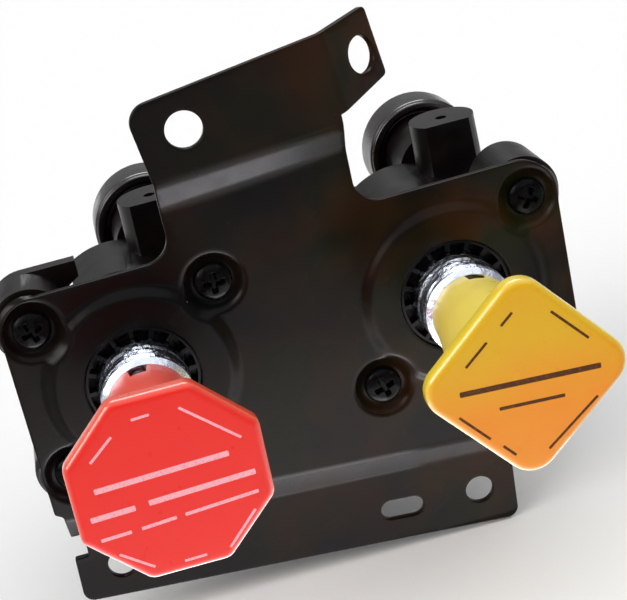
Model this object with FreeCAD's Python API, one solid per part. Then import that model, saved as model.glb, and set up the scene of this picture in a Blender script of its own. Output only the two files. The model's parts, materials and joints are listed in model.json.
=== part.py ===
import FreeCAD, Part

import math
import os

# Dash control valve with two push-pull plungers on a bent steel mounting plate.
# Millimetres. X runs right, Y runs from the front of the plate towards the rear ports, Z is up.
# The origin is the midpoint between the two plunger axes, on the front face of the plate.

V = FreeCAD.Vector
AXIS = V(0, 1, 0)

# Layout of the two plungers and the fixing screws
PLUNGER_SPACING = 80.0
SCREW_OFFSET_X = 22.4
SCREW_OFFSET_Z = 19.4

# Mounting plate
SHEET = 2.0
BEND_RADIUS = 2.0
PLATE_HALF_WIDTH = 70.0
PLATE_TOP = 28.4
PLATE_TOP_RISE = 0.0135
PLATE_BOTTOM = -29.6
PLATE_CORNER_R = 9.6
NECK_LEFT = -25.9
NECK_RIGHT = 20.6
NECK_FILLET_R = 6.2
TOP_STEP = -4.5
TOP_BEND_LOW = 41.8
TOP_BEND_LOW_RISE = 0.067
TOP_BEND_HIGH = 48.8
TOP_BEND_HIGH_RISE = 0.048
TOP_FLANGE_TILT = 7.4
TOP_FLANGE_Z = 70.25
TOP_FLANGE_CORNER_R = 5.0
EAR_FOLD_X = 18.1
EAR_FOLD_LENGTH = 19.9
EAR_LENGTH = 15.6
EAR_ANGLE = 37.0
EAR_TAPER = 2.4
EAR_CORNER_R = 2.0
EAR_HOLE_RUN = 9.672
LOW_FLANGE_LEFT = -69.4
LOW_FLANGE_RIGHT = 46.2
LOW_FLANGE_Z = -63.75
LOW_FLANGE_FALL = 0.0887
LOW_FLANGE_CORNER_R = 3.0
LOW_STEP_LEFT = 5.1
LOW_STEP_RIGHT = 2.5
LOW_BEND_HIGH = -37.0
LOW_BEND_HIGH_FALL = 0.085
LOW_BEND_LOW = -43.9
LOW_BEND_LOW_FALL = 0.070
LOW_SHOULDER_X = 48.0
LOW_SHOULDER_DROP = 1.0
EDGE_STEP = 1.9
EDGE_STEP_SLOPE = 0.6
EDGE_STEP_R = (1.2, 0.9)
NOTCH_TOP = -38.3
NOTCH_BOTTOM = -44.9
NOTCH_DEPTH = 3.3
NOTCH_SIDE = 0.6
NOTCH_SLOPE = 0.5
NOTCH_R = 0.4
FLANGE_HOLE_R = 4.5
LOW_HOLE_R = 3.7
LOW_HOLE_LEFT = (-57.6, -49.7)
LOW_HOLE_RIGHT = (37.1, -57.1)
TOP_HOLE = (-15.9, 58.9)
SLOT_CENTRE = (16.1, -56.2)
SLOT_LENGTH = 11.5
SLOT_WIDTH = 5.5

# Raised pads round the plungers and bowls under the screw heads
PAD_OUTER_R = 24.1
PAD_INNER_R = 21.6
PAD_RISE = 1.8
PAD_HOLE_R = 14.3
PAD_RIM = 0.6
BOWL_OUTER_R = 7.7
BOWL_FLOOR_R = 5.8
BOWL_DEPTH = 2.2

# Valve body
BODY_GAP = 0.3
BARREL_R = 15.5
BARREL_LENGTH = 50.0
BORE_CLEARANCE = 0.1
BORE_END_WALL = 3.0
LUG_R = 9.4
LUG_REAR = 20.0
LUG_RIB = 4.2
LUG_RIB_ROOT = 2.0
GUSSET_END = 8.6
GUSSET_WIDTH = 4.2
GUSSET_SHEET = 4.0
GUSSET_ROOT_RISE = 2.5
PILOT_CLEARANCE = 0.05
CHAMBER_FRONT = 24.0
CHAMBER_R = 20.5
CHAMBER_SIDE = 11.0
CHAMBER_LOW = -10.0
CHAMBER_CORNER_R = 2.0
AUX_OFFSET_X = 14.0
AUX_R = 8.7
AUX_REAR_GAP = 0.2
AUX_FLAT = 6.4
AUX_TOP = 32.6
AUX_DRAFT = 0.3
AUX_ROOT = 13.0
AUX_HOLE_R = 1.5
AUX_HOLE_DEPTH = 12.0
BRIDGE_HALF_HEIGHT = 9.0
BRIDGE_FRONT = 6.0
REAR_FLANGE = 6.0

# Guide rings in the mouths of the barrels
GUIDE_R = 14.0
GUIDE_FRONT = -0.8
GUIDE_REAR = 7.5
GUIDE_CLEARANCE = 0.05
GUIDE_WALL = 0.7
GUIDE_POCKETS = 16
GUIDE_RIB = 1.1
GUIDE_POCKET_DEPTH = 3.2
WIPER_CORD = 1.6
WIPER_Y = 5.2

# Plungers
SLEEVE_R = 11.4
SLEEVE_FRONT = -2.5
STEM_STEPS = ((10.85, -5.2), (10.4, -7.6))
COLLAR_R = 9.9
STEM_R = 6.0
STEM_FRONT = -44.0
STEM_END_GAP = 0.5
TAIL_R = 4.0
TAIL_BEYOND_CLIP = 1.0
SLIDE_CLEARANCE = 0.05

# Spools behind the plungers
SPOOL_R = 11.9
SPOOL_STOP_GAP = 0.3
SPOOL_LENGTH = 18.0
SPOOL_SEALS = 2
SPOOL_SLEEVE_WALL = 1.6
SEAL_CORD = 1.9
SEAL_SQUEEZE_GAP = 0.04
WIPER_SIDE_GAP = 0.1
WIPER_GROOVE_LESS = 0.2
SPRING_MEAN_R = 7.4
SPRING_WIRE_R = 0.7
SPRING_POCKET_R = 9.5
SPRING_POCKET_DEPTH = 8.0
SPRING_END_GAP = 0.05
SPRING_TURNS = 5
SEAT_R = 11.0
SEAT_THICKNESS = 1.5
CLIP_R = 5.4
CLIP_THICKNESS = 0.8
CLIP_GROOVE_DEPTH = 0.8
CLIP_SIDE_GAP = 0.1
CLIP_MOUTH = 5.6

# Knobs
KNOB_REAR = -15.0
KNOB_RIM_R = 10.0
KNOB_RIM_WALL = 1.6
KNOB_HOLLOW_DEPTH = 9.0
KNOB_MID_R = 11.7
KNOB_MID_REACH = 15.0
KNOB_NECK_R = 12.8
KNOB_FLARE_LENGTH = 8.0
KNOB_FLARE_R = 19.0
KNOB_ROOT = 1.0
KNOB_STEM_CLEARANCE = 0.05
RED_FLATS = 42.3
RED_FACE = -58.9
RED_FLANGE = 4.6
RED_CORNER_R = 3.2
RED_TURN = -1.0
YELLOW_SIDE = 35.9
YELLOW_FACE = -57.3
YELLOW_FLANGE = 4.6
YELLOW_CORNER_R = 6.4
YELLOW_TURN = -4.8
FACE_ROUND = 1.6
KNOB_NOTCH_WIDTH = 3.4
KNOB_NOTCH_DEPTH = 1.8
RED_NOTCH_ANGLE = 0.0
YELLOW_NOTCH_ANGLE = 11.0
PIN_R = 1.5
PIN_Y = -33.0
PIN_TOP = 7.6
PIN_RECESS = 1.4

# Plate screws
SCREW_R = 2.4
SCREW_HEAD_R = 4.75
SCREW_HEAD_HEIGHT = 2.9
SCREW_LENGTH = 14.0
RECESS_WIDTH = 1.15
RECESS_LENGTH = 5.2
RECESS_DEPTH = 1.6
RECESS_TURN = 25.0
RECESS_TURN_STEP = 13.0
SCREW_HOLE_CLEARANCE = 0.3
PILOT_ROOM = 1.0

# Rear manifold, its gasket, screws, ports and caps
GASKET = 0.8
MANIFOLD_DEPTH = 16.0
MANIFOLD_FALL = 4.5
MANIFOLD_CORNER_R = 9.0
MANIFOLD_LEFT = -55.4
MANIFOLD_RIGHT = 63.0
MANIFOLD_TOP = 12.0
MANIFOLD_BOTTOM = -20.0
MANIFOLD_SHOULDER = 4.0
CAP_OFFSET_X = 13.2
CAP_Z = 15.8
CAP_R = 15.6
CAP_LENGTH = 13.2
CAP_NECK_R = 11.2
CAP_RIM = 2.6
CAP_DISH = 3.2
CAP_DISH_SLOPE = 0.9
CAP_LIP = 0.7
CAP_CHAMFER = 1.2
CAP_FLOOR = 4.3
CAP_BORE_R = 9.0
CAP_HUB_WALL = 0.4
SPIGOT_CLEARANCE = 0.1
SPIGOT_LENGTH = 4.0
CAP_SEAL_CORD = 1.8
CAP_SEAL_DEPTH = 2.0
PORT_R = 5.8
PORT_INSERT_R = 8.0
PORT_INSERT_LENGTH = 10.0
PORT_POCKET_R = 5.0
PORT_FLOOR = 2.0
PORT_XS = (-46.0, -24.0, 24.0, 46.0)
PORT_Z = -9.0
PORT_FLANGE_R = 8.8
PORT_FLANGE = 1.2
SHUTTLE_R = 5.0
SHUTTLE_LENGTH = 9.0
SHUTTLE_TRAVEL = 2.0
SHUTTLE_WAIST = 2.0
SHUTTLE_WAIST_R = 3.8
SHUTTLE_CLEARANCE = 0.06
SHUTTLE_DEPTH = 6.2
PASSAGE_R = 2.0
PASSAGE_DEPTH = 4.0
SUPPLY_FROM_REAR = 8.0
OUTLET_Z = -7.0
STUD_R = 2.0
STUD_HEAD_R = 3.5
STUD_EDGE = 4.2
STUD_XS = (-35.0, -10.0, 10.0, 35.0)
STUD_HEAD_HEIGHT = 2.4
STUD_LENGTH = 19.0
STUD_SOCKET_R = 1.9
STUD_SOCKET_FLOOR = 0.8
STUD_END_ROOM = 1.5

# Values worked out from the ones above
RED_X = -PLUNGER_SPACING / 2
YELLOW_X = PLUNGER_SPACING / 2
LUG_FRONT = BOWL_DEPTH + SHEET
BARREL_FRONT = SHEET - PAD_RISE + BODY_GAP
BORE_R = SPOOL_R + BORE_CLEARANCE
BORE_REAR = BARREL_LENGTH - BORE_END_WALL
GUIDE_BORE_R = SLEEVE_R + SLIDE_CLEARANCE
SPOOL_FRONT = GUIDE_REAR + SPOOL_STOP_GAP
SPOOL_REAR = SPOOL_FRONT + SPOOL_LENGTH
SLEEVE_REAR = SPOOL_FRONT
SPRING_POCKET_FLOOR = SPOOL_REAR - SPRING_POCKET_DEPTH
CLIP_GROOVE_REAR = SPOOL_REAR + CLIP_THICKNESS + CLIP_SIDE_GAP
TAIL_REAR = CLIP_GROOVE_REAR + TAIL_BEYOND_CLIP
MANIFOLD_FRONT = BARREL_LENGTH + GASKET
MANIFOLD_REAR = MANIFOLD_FRONT + MANIFOLD_DEPTH
INSERT_FRONT = MANIFOLD_REAR - PORT_INSERT_LENGTH
SHUTTLE_Y = MANIFOLD_FRONT + SHUTTLE_DEPTH
CAP_REAR = MANIFOLD_REAR + CAP_LENGTH
SUPPLY_Y = BARREL_LENGTH - SUPPLY_FROM_REAR
AUX_Y = MANIFOLD_FRONT - AUX_REAR_GAP - AUX_DRAFT - AUX_R
WIPER_GROOVE_R = SLEEVE_R + WIPER_CORD - WIPER_GROOVE_LESS
STRIP_REACH = PLATE_HALF_WIDTH + 2 * SHEET
STRIP_TOP = TOP_FLANGE_Z + PLATE_CORNER_R
STRIP_BOTTOM = LOW_FLANGE_Z - PLATE_CORNER_R
THROUGH = 30.0
OUTER_SCREW_X = YELLOW_X + SCREW_OFFSET_X
INNER_SCREW_X = YELLOW_X - SCREW_OFFSET_X
SCREW_PLACES = (
    (-OUTER_SCREW_X, SCREW_OFFSET_Z),
    (-INNER_SCREW_X, SCREW_OFFSET_Z),
    (OUTER_SCREW_X, SCREW_OFFSET_Z),
    (-OUTER_SCREW_X, -SCREW_OFFSET_Z),
    (INNER_SCREW_X, -SCREW_OFFSET_Z),
    (OUTER_SCREW_X, -SCREW_OFFSET_Z),
)


def save(shape, node):
    """Write one sub-part after a check that it is sound."""
    assert shape.isValid(), node
    shape.exportStep("parts/" + node + ".step")
    print(node, "solids", len(shape.Solids), "volume", round(shape.Volume, 1))


def rod_y(x, z, r, y0, y1):
    """Round bar along Y from y0 to y1."""
    return Part.makeCylinder(r, y1 - y0, V(x, y0, z), AXIS)


def rod_z(x, y, r, z0, z1):
    """Round bar along Z from z0 to z1."""
    return Part.makeCylinder(r, z1 - z0, V(x, y, z0), V(0, 0, 1))


def rod_x(y, z, r, x0, x1):
    """Round bar along X from x0 to x1."""
    return Part.makeCylinder(r, x1 - x0, V(x0, y, z), V(1, 0, 0))


def tube_y(x, z, r_in, r_out, y0, y1):
    """Round tube along Y."""
    return rod_y(x, z, r_out, y0, y1).cut(rod_y(x, z, r_in, y0 - 1, y1 + 1))


def block(x0, x1, y0, y1, z0, z1):
    """Box between two corners."""
    return Part.makeBox(x1 - x0, y1 - y0, z1 - z0, V(x0, y0, z0))


def turned(x, z, profile):
    """Revolve a closed profile of (radius, y) points about the Y axis through x, z."""
    points = [V(x + r, y, z) for r, y in profile]
    face = Part.Face(Part.makePolygon(points + points[:1]))
    return face.revolve(V(x, 0, z), AXIS, 360)


def outline(corners):
    """Closed XZ wire through (x, z, radius) corners, with an arc at each corner that has a radius."""
    count = len(corners)
    edges = []
    ends = []
    for i, (x, z, r) in enumerate(corners):
        here = V(x, 0, z)
        before = V(corners[i - 1][0], 0, corners[i - 1][1])
        after = V(corners[(i + 1) % count][0], 0, corners[(i + 1) % count][1])
        u = (before - here).normalize()
        w = (after - here).normalize()
        half = u.getAngle(w) / 2
        reach = r / math.tan(half) if r > 0 else 0.0
        start = here + u * reach
        end = here + w * reach
        if r > 0:
            middle = (u + w).normalize()
            centre = here + middle * (r / math.sin(half))
            edges.append(Part.Arc(start, centre - middle * r, end).toShape())
        ends.append((start, end))
    for i in range(count):
        p = ends[i][1]
        q = ends[(i + 1) % count][0]
        if p.distanceToPoint(q) > 1e-6:
            edges.append(Part.LineSegment(p, q).toShape())
    return Part.Wire(Part.__sortEdges__(edges))


def prism(corners, y0, y1):
    """Solid with an XZ outline between two depths."""
    solid = Part.Face(outline(corners)).extrude(V(0, y1 - y0, 0))
    solid.translate(V(0, y0, 0))
    return solid


def torus_y(x, z, ring_r, cord_r, y):
    """O-ring lying square to the Y axis."""
    return Part.makeTorus(ring_r, cord_r, V(x, y, z), AXIS)


def bent_section(x, path, thickness, inner_r):
    """Section of a bent sheet in the plane of one x: path is the front side as (y, z) corners."""
    count = len(path)
    mid = []
    for i in range(count):
        a = path[max(i - 1, 0)]
        b = path[min(i + 1, count - 1)]
        here = path[i]
        normals = []
        for p, q in ((a, here), (here, b)):
            length = math.hypot(q[0] - p[0], q[1] - p[1])
            if length > 0:
                normals.append(((q[1] - p[1]) / length, -(q[0] - p[0]) / length))
        ny = sum(n[0] for n in normals)
        nz = sum(n[1] for n in normals)
        size = math.hypot(ny, nz)
        ny, nz = ny / size, nz / size
        cosine = ny * normals[0][0] + nz * normals[0][1]
        mid.append((here[0] + ny * thickness / cosine, here[1] + nz * thickness / cosine))
    corners = []
    turn_sign = []
    for i in range(count):
        if 0 < i < count - 1:
            ay, az = path[i][0] - path[i - 1][0], path[i][1] - path[i - 1][1]
            by, bz = path[i + 1][0] - path[i][0], path[i + 1][1] - path[i][1]
            turn_sign.append(1 if ay * bz - az * by > 0 else -1)
        else:
            turn_sign.append(0)
    for i in range(count):
        outer = inner_r + thickness if turn_sign[i] > 0 else inner_r
        corners.append((path[i][0], path[i][1], outer if turn_sign[i] else 0.0))
    for i in reversed(range(count)):
        outer = inner_r if turn_sign[i] > 0 else inner_r + thickness
        corners.append((mid[i][0], mid[i][1], outer if turn_sign[i] else 0.0))
    wire = outline(corners)
    # The outline helper draws in XZ, so its x is turned into depth here.
    wire.rotate(V(0, 0, 0), V(0, 0, 1), 90)
    wire.translate(V(x, 0, 0))
    return wire


def true_planes(solid):
    """The same solid, with a plane under each of its flat faces."""
    faces = []
    for face in solid.Faces:
        flat = face
        plane = face.findPlane()
        if plane:
            flat = Part.Face(plane, face.OuterWire)
            if flat.normalAt(0, 0).dot(face.normalAt(0, 0)) < 0:
                flat.reverse()
        faces.append(flat)
    return Part.Solid(Part.Shell(faces))


def sheet_strip():
    """The whole sheet before its outline is cut: flat middle, with a step forward above and back below."""
    sections = []
    for x in (-STRIP_REACH, STRIP_REACH):
        share = (x + STRIP_REACH) / (2 * STRIP_REACH)
        low_step = LOW_STEP_LEFT + (LOW_STEP_RIGHT - LOW_STEP_LEFT) * share
        path = [
            (low_step, STRIP_BOTTOM),
            (low_step, LOW_BEND_LOW - LOW_BEND_LOW_FALL * x),
            (0.0, LOW_BEND_HIGH - LOW_BEND_HIGH_FALL * x),
            (0.0, TOP_BEND_LOW + TOP_BEND_LOW_RISE * x),
            (TOP_STEP, TOP_BEND_HIGH + TOP_BEND_HIGH_RISE * x),
            (TOP_STEP, STRIP_TOP),
        ]
        sections.append(bent_section(x, path, SHEET, BEND_RADIUS))
    return true_planes(Part.makeLoft(sections, True, True))


def flange_line(x):
    """Height of the top flange's upper edge at x."""
    return TOP_FLANGE_Z + math.tan(math.radians(TOP_FLANGE_TILT)) * x


def fold_ends():
    """Top and bottom of the ear's fold line, as (x, z)."""
    tilt = math.radians(TOP_FLANGE_TILT)
    top = (EAR_FOLD_X, flange_line(EAR_FOLD_X))
    bottom = (top[0] + EAR_FOLD_LENGTH * math.sin(tilt), top[1] - EAR_FOLD_LENGTH * math.cos(tilt))
    return top, bottom


def plate_outline():
    """Front outline of the mounting plate, clockwise from the upper left corner."""
    top, bottom = fold_ends()
    slope = math.tan(math.radians(TOP_FLANGE_TILT))
    left_bend = TOP_BEND_HIGH + TOP_BEND_HIGH_RISE * NECK_LEFT
    left_top_x = NECK_LEFT - slope * (flange_line(NECK_LEFT) - left_bend)
    low_edge = LOW_FLANGE_Z
    notch_inner = LOW_FLANGE_LEFT + NOTCH_SIDE + NOTCH_SLOPE + NOTCH_DEPTH
    return [
        (-PLATE_HALF_WIDTH, PLATE_TOP - PLATE_TOP_RISE * PLATE_HALF_WIDTH, PLATE_CORNER_R),
        (NECK_LEFT, PLATE_TOP + PLATE_TOP_RISE * NECK_LEFT, NECK_FILLET_R),
        (NECK_LEFT, left_bend, 0.0),
        (left_top_x, flange_line(left_top_x), TOP_FLANGE_CORNER_R),
        (top[0], top[1], 0.0),
        (bottom[0], bottom[1], 0.0),
        (NECK_RIGHT, PLATE_TOP + PLATE_TOP_RISE * NECK_RIGHT, NECK_FILLET_R),
        (PLATE_HALF_WIDTH, PLATE_TOP + PLATE_TOP_RISE * PLATE_HALF_WIDTH, PLATE_CORNER_R),
        (PLATE_HALF_WIDTH, PLATE_BOTTOM, PLATE_CORNER_R),
        (LOW_SHOULDER_X, PLATE_BOTTOM - LOW_SHOULDER_DROP, LOW_FLANGE_CORNER_R),
        (LOW_FLANGE_RIGHT, low_edge - LOW_FLANGE_FALL * LOW_FLANGE_RIGHT, LOW_FLANGE_CORNER_R),
        (LOW_FLANGE_LEFT, low_edge - LOW_FLANGE_FALL * LOW_FLANGE_LEFT, LOW_FLANGE_CORNER_R),
        (LOW_FLANGE_LEFT + NOTCH_SIDE, NOTCH_BOTTOM, NOTCH_R),
        (notch_inner, NOTCH_BOTTOM, NOTCH_R),
        (notch_inner, NOTCH_TOP, NOTCH_R),
        (-PLATE_HALF_WIDTH + EDGE_STEP, NOTCH_TOP, 0.0),
        (-PLATE_HALF_WIDTH + EDGE_STEP, PLATE_BOTTOM - EDGE_STEP_SLOPE, EDGE_STEP_R[0]),
        (-PLATE_HALF_WIDTH, PLATE_BOTTOM + EDGE_STEP_SLOPE, EDGE_STEP_R[1]),
    ]


def ear():
    """The ear folded back from the right end of the top flange, with its hole."""
    outer_r = BEND_RADIUS + SHEET
    steps = math.radians(EAR_ANGLE)
    centre_y = outer_r
    front = [(0.0, 0.0), (outer_r * math.sin(steps / 2), centre_y - outer_r * math.cos(steps / 2)),
             (outer_r * math.sin(steps), centre_y - outer_r * math.cos(steps))]
    back = [(0.0, SHEET), (BEND_RADIUS * math.sin(steps / 2), centre_y - BEND_RADIUS * math.cos(steps / 2)),
            (BEND_RADIUS * math.sin(steps), centre_y - BEND_RADIUS * math.cos(steps))]
    run = (math.cos(steps) * EAR_LENGTH, math.sin(steps) * EAR_LENGTH)
    tip_front = (front[2][0] + run[0], front[2][1] + run[1])
    tip_back = (back[2][0] + run[0], back[2][1] + run[1])

    def at(point):
        return V(point[0], point[1], 0)

    edges = [
        Part.Arc(at(front[0]), at(front[1]), at(front[2])).toShape(),
        Part.LineSegment(at(front[2]), at(tip_front)).toShape(),
        Part.LineSegment(at(tip_front), at(tip_back)).toShape(),
        Part.LineSegment(at(tip_back), at(back[2])).toShape(),
        Part.Arc(at(back[2]), at(back[1]), at(back[0])).toShape(),
        Part.LineSegment(at(back[0]), at(front[0])).toShape(),
    ]
    solid = Part.Face(Part.Wire(edges)).extrude(V(0, 0, EAR_FOLD_LENGTH))
    # Taper along the lower edge and small round corners at the tip, cut square to the ear's face.
    length = run[0] + front[2][0]
    mask = prism([
        (-1.0, 0.0, 0.0),
        (0.0, 0.0, 0.0),
        (length, EAR_TAPER, EAR_CORNER_R),
        (length, EAR_FOLD_LENGTH, EAR_CORNER_R),
        (-1.0, EAR_FOLD_LENGTH, 0.0),
    ], -SHEET, outer_r + run[1] + 2 * SHEET)
    solid = solid.common(mask)
    normal = V(math.sin(steps), -math.cos(steps), 0)
    spot = V(front[2][0] + math.cos(steps) * EAR_HOLE_RUN, front[2][1] + math.sin(steps) * EAR_HOLE_RUN,
             EAR_FOLD_LENGTH / 2)
    solid = solid.cut(Part.makeCylinder(FLANGE_HOLE_R, 3 * SHEET, spot + normal * SHEET, normal * -1))
    bottom = fold_ends()[1]
    solid.rotate(V(0, 0, 0), AXIS, -TOP_FLANGE_TILT)
    solid.translate(V(bottom[0], TOP_STEP, bottom[1]))
    return solid


def slot_cutter(centre, length, width, fall):
    """Cutter for a round-ended slot along the lower flange."""
    r = width / 2
    half = length / 2 - r
    x, z = centre
    ends = rod_y(x - half, z, r, -THROUGH, THROUGH).fuse(rod_y(x + half, z, r, -THROUGH, THROUGH))
    cutter = ends.fuse(block(x - half, x + half, -THROUGH, THROUGH, z - r, z + r)).removeSplitter()
    cutter.rotate(V(x, 0, z), AXIS, math.degrees(math.atan(fall)))
    return cutter


def mounting_plate():
    """Bent steel sheet with raised pads round the plungers and bowls for the screw heads."""
    sheet = sheet_strip().common(prism(plate_outline(), -THROUGH, THROUGH))
    sheet = sheet.fuse(ear())
    for x in (RED_X, YELLOW_X):
        rim = PAD_OUTER_R + PAD_RIM
        sheet = sheet.cut(rod_y(x, 0, rim, -THROUGH, THROUGH))
        pad = turned(x, 0, [
            (rim, 0.0), (PAD_OUTER_R, 0.0), (PAD_INNER_R, -PAD_RISE), (PAD_HOLE_R, -PAD_RISE),
            (PAD_HOLE_R, SHEET - PAD_RISE), (PAD_INNER_R - PAD_RIM, SHEET - PAD_RISE),
            (PAD_OUTER_R - PAD_RIM, SHEET), (rim, SHEET),
        ])
        sheet = sheet.fuse(pad)
    for x, z in SCREW_PLACES:
        sheet = sheet.cut(rod_y(x, z, BOWL_OUTER_R, -THROUGH, THROUGH))
    bowls = []
    for x, z in SCREW_PLACES:
        bowls.append(turned(x, z, [
            (SCREW_R + SCREW_HOLE_CLEARANCE, BOWL_DEPTH), (BOWL_FLOOR_R, BOWL_DEPTH),
            (BOWL_OUTER_R, 0.0), (BOWL_OUTER_R, SHEET),
            (BOWL_FLOOR_R + PAD_RIM, BOWL_DEPTH + SHEET), (SCREW_R + SCREW_HOLE_CLEARANCE, BOWL_DEPTH + SHEET),
        ]))
    sheet = sheet.fuse(bowls)
    x, z = TOP_HOLE
    sheet = sheet.cut(rod_y(x, z, FLANGE_HOLE_R, -THROUGH, THROUGH))
    for x, z in (LOW_HOLE_LEFT, LOW_HOLE_RIGHT):
        sheet = sheet.cut(rod_y(x, z, LOW_HOLE_R, -THROUGH, THROUGH))
    sheet = sheet.cut(slot_cutter(SLOT_CENTRE, SLOT_LENGTH, SLOT_WIDTH, LOW_FLANGE_FALL))
    return sheet.removeSplitter()


def lug(x, z, axis_x):
    """One fixing boss of the body, with a rib down to the barrel."""
    boss = rod_y(x, z, LUG_R, LUG_FRONT, LUG_REAR)
    run = V(axis_x - x, 0, -z)
    rib = block(0, run.Length - BARREL_R + LUG_RIB_ROOT, LUG_FRONT, LUG_REAR - LUG_RIB_ROOT,
                -LUG_RIB / 2, LUG_RIB / 2)
    rib.rotate(V(0, 0, 0), AXIS, -math.degrees(math.atan2(run.z, run.x)))
    rib.translate(V(x, 0, z))
    return boss.fuse(rib)


def upper_gusset():
    """Flat gusset behind the upper left lug, level with the lug's top and narrow at its far end."""
    x, z = SCREW_PLACES[0]
    top = z + LUG_R
    return prism([
        (x, z, 0.0),
        (x, top, 0.0),
        (RED_X - GUSSET_END, top, 0.0),
        (RED_X - GUSSET_END, top - GUSSET_WIDTH, 0.0),
        (x + LUG_R, z + GUSSET_ROOT_RISE, 0.0),
    ], LUG_REAR - GUSSET_SHEET, LUG_REAR)


def chamber_block(axis_x):
    """Round-topped upper housing over the rear of one barrel, flat on its left, which carries the auxiliary port."""
    side = prism([
        (axis_x - CHAMBER_SIDE, CHAMBER_R, CHAMBER_CORNER_R),
        (axis_x + CHAMBER_R, CHAMBER_R, CHAMBER_CORNER_R),
        (axis_x + CHAMBER_R, CHAMBER_LOW, CHAMBER_CORNER_R),
        (axis_x - CHAMBER_SIDE, CHAMBER_LOW, CHAMBER_CORNER_R),
    ], CHAMBER_FRONT, BARREL_LENGTH)
    return side.common(rod_y(axis_x, 0, CHAMBER_R, CHAMBER_FRONT, BARREL_LENGTH))


def aux_port(axis_x):
    """Upright auxiliary port on the upper housing, slightly tapered, with a flat down its front."""
    x = axis_x + AUX_OFFSET_X
    post = Part.makeCone(AUX_R + AUX_DRAFT, AUX_R, AUX_TOP - AUX_ROOT, V(x, AUX_Y, AUX_ROOT), V(0, 0, 1))
    flat = block(x - 2 * AUX_R, x + 2 * AUX_R, AUX_Y - 2 * AUX_R, AUX_Y - AUX_FLAT, AUX_ROOT - 1, AUX_TOP + 1)
    return post.cut(flat)


def valve_body():
    """Moulded body: two barrels, their bridge, six fixing lugs, upper housings and auxiliary ports."""
    body = rod_y(RED_X, 0, BARREL_R, BARREL_FRONT, BARREL_LENGTH)
    parts = [rod_y(YELLOW_X, 0, BARREL_R, BARREL_FRONT, BARREL_LENGTH)]
    parts.append(block(RED_X, YELLOW_X, BRIDGE_FRONT, BARREL_LENGTH, -BRIDGE_HALF_HEIGHT, BRIDGE_HALF_HEIGHT))
    for x, z in SCREW_PLACES:
        parts.append(lug(x, z, RED_X if x < 0 else YELLOW_X))
    parts.append(upper_gusset())
    for x in (RED_X, YELLOW_X):
        parts.append(chamber_block(x))
        parts.append(aux_port(x))
    parts.append(manifold_plate(BARREL_LENGTH - REAR_FLANGE, BARREL_LENGTH))
    body = body.fuse(parts).removeSplitter()
    for x in (RED_X, YELLOW_X):
        body = body.cut(rod_y(x, 0, BORE_R, BARREL_FRONT - 1, BORE_REAR))
        body = body.cut(rod_y(x, 0, GUIDE_R + GUIDE_CLEARANCE, BARREL_FRONT - 1, GUIDE_REAR + GUIDE_CLEARANCE))
        body = body.cut(rod_z(x + AUX_OFFSET_X, AUX_Y, AUX_HOLE_R, AUX_TOP - AUX_HOLE_DEPTH, AUX_TOP + 1))
    for x, z in delivery_places():
        body = body.cut(rod_y(x, z, PASSAGE_R, BORE_REAR - 1, BARREL_LENGTH + 1))
    body = body.cut(rod_x(SUPPLY_Y, OUTLET_Z, PASSAGE_R, RED_X, YELLOW_X))
    body = body.cut(rod_y(0, OUTLET_Z, PASSAGE_R, SUPPLY_Y, BARREL_LENGTH + 1))
    for x, z in SCREW_PLACES:
        body = body.cut(rod_y(x, z, SCREW_R + PILOT_CLEARANCE, LUG_FRONT - 1, BOWL_DEPTH + SCREW_LENGTH + PILOT_ROOM))
    for x, z in stud_places():
        body = body.cut(rod_y(x, z, STUD_R + PILOT_CLEARANCE, MANIFOLD_REAR - STUD_LENGTH - STUD_END_ROOM,
                              BARREL_LENGTH + 1))
    return body


def manifold_plate(y0, y1):
    """Slab with the rear manifold's outline, which falls away at its upper left."""
    return prism([
        (MANIFOLD_LEFT, MANIFOLD_FALL, MANIFOLD_CORNER_R),
        (RED_X + MANIFOLD_SHOULDER, MANIFOLD_TOP, MANIFOLD_CORNER_R),
        (MANIFOLD_RIGHT, MANIFOLD_TOP, MANIFOLD_CORNER_R),
        (MANIFOLD_RIGHT, MANIFOLD_BOTTOM, MANIFOLD_CORNER_R),
        (MANIFOLD_LEFT, MANIFOLD_BOTTOM, MANIFOLD_CORNER_R),
    ], y0, y1)


def stud_places():
    """Places of the screws that hold the rear manifold."""
    low = [(x, MANIFOLD_BOTTOM + STUD_EDGE) for x in STUD_XS]
    return low + [(0.0, MANIFOLD_TOP - STUD_EDGE)]


def manifold_gasket():
    """Flat gasket between the body and the rear manifold."""
    gasket = manifold_plate(BARREL_LENGTH, MANIFOLD_FRONT)
    for x, z in stud_places():
        gasket = gasket.cut(rod_y(x, z, STUD_R + SCREW_HOLE_CLEARANCE, BARREL_LENGTH - 1, MANIFOLD_FRONT + 1))
    for x, z in delivery_places() + [(0, OUTLET_Z)]:
        gasket = gasket.cut(rod_y(x, z, PASSAGE_R, BARREL_LENGTH - 1, MANIFOLD_FRONT + 1))
    return gasket


def shuttle_space():
    """Room in the manifold for the check shuttle, with the passages from the two inner ports and its outlet."""
    half = SHUTTLE_LENGTH / 2 + SHUTTLE_TRAVEL
    chamber = rod_x(SHUTTLE_Y, PORT_Z, SHUTTLE_R + SHUTTLE_CLEARANCE, -half, half)
    passage = rod_x(MANIFOLD_FRONT + PASSAGE_DEPTH, PORT_Z, PASSAGE_R, PORT_XS[1], PORT_XS[2])
    outlet = rod_y(0, OUTLET_Z, PASSAGE_R, MANIFOLD_FRONT - 1, SHUTTLE_Y)
    return chamber.fuse([passage, outlet])


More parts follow.
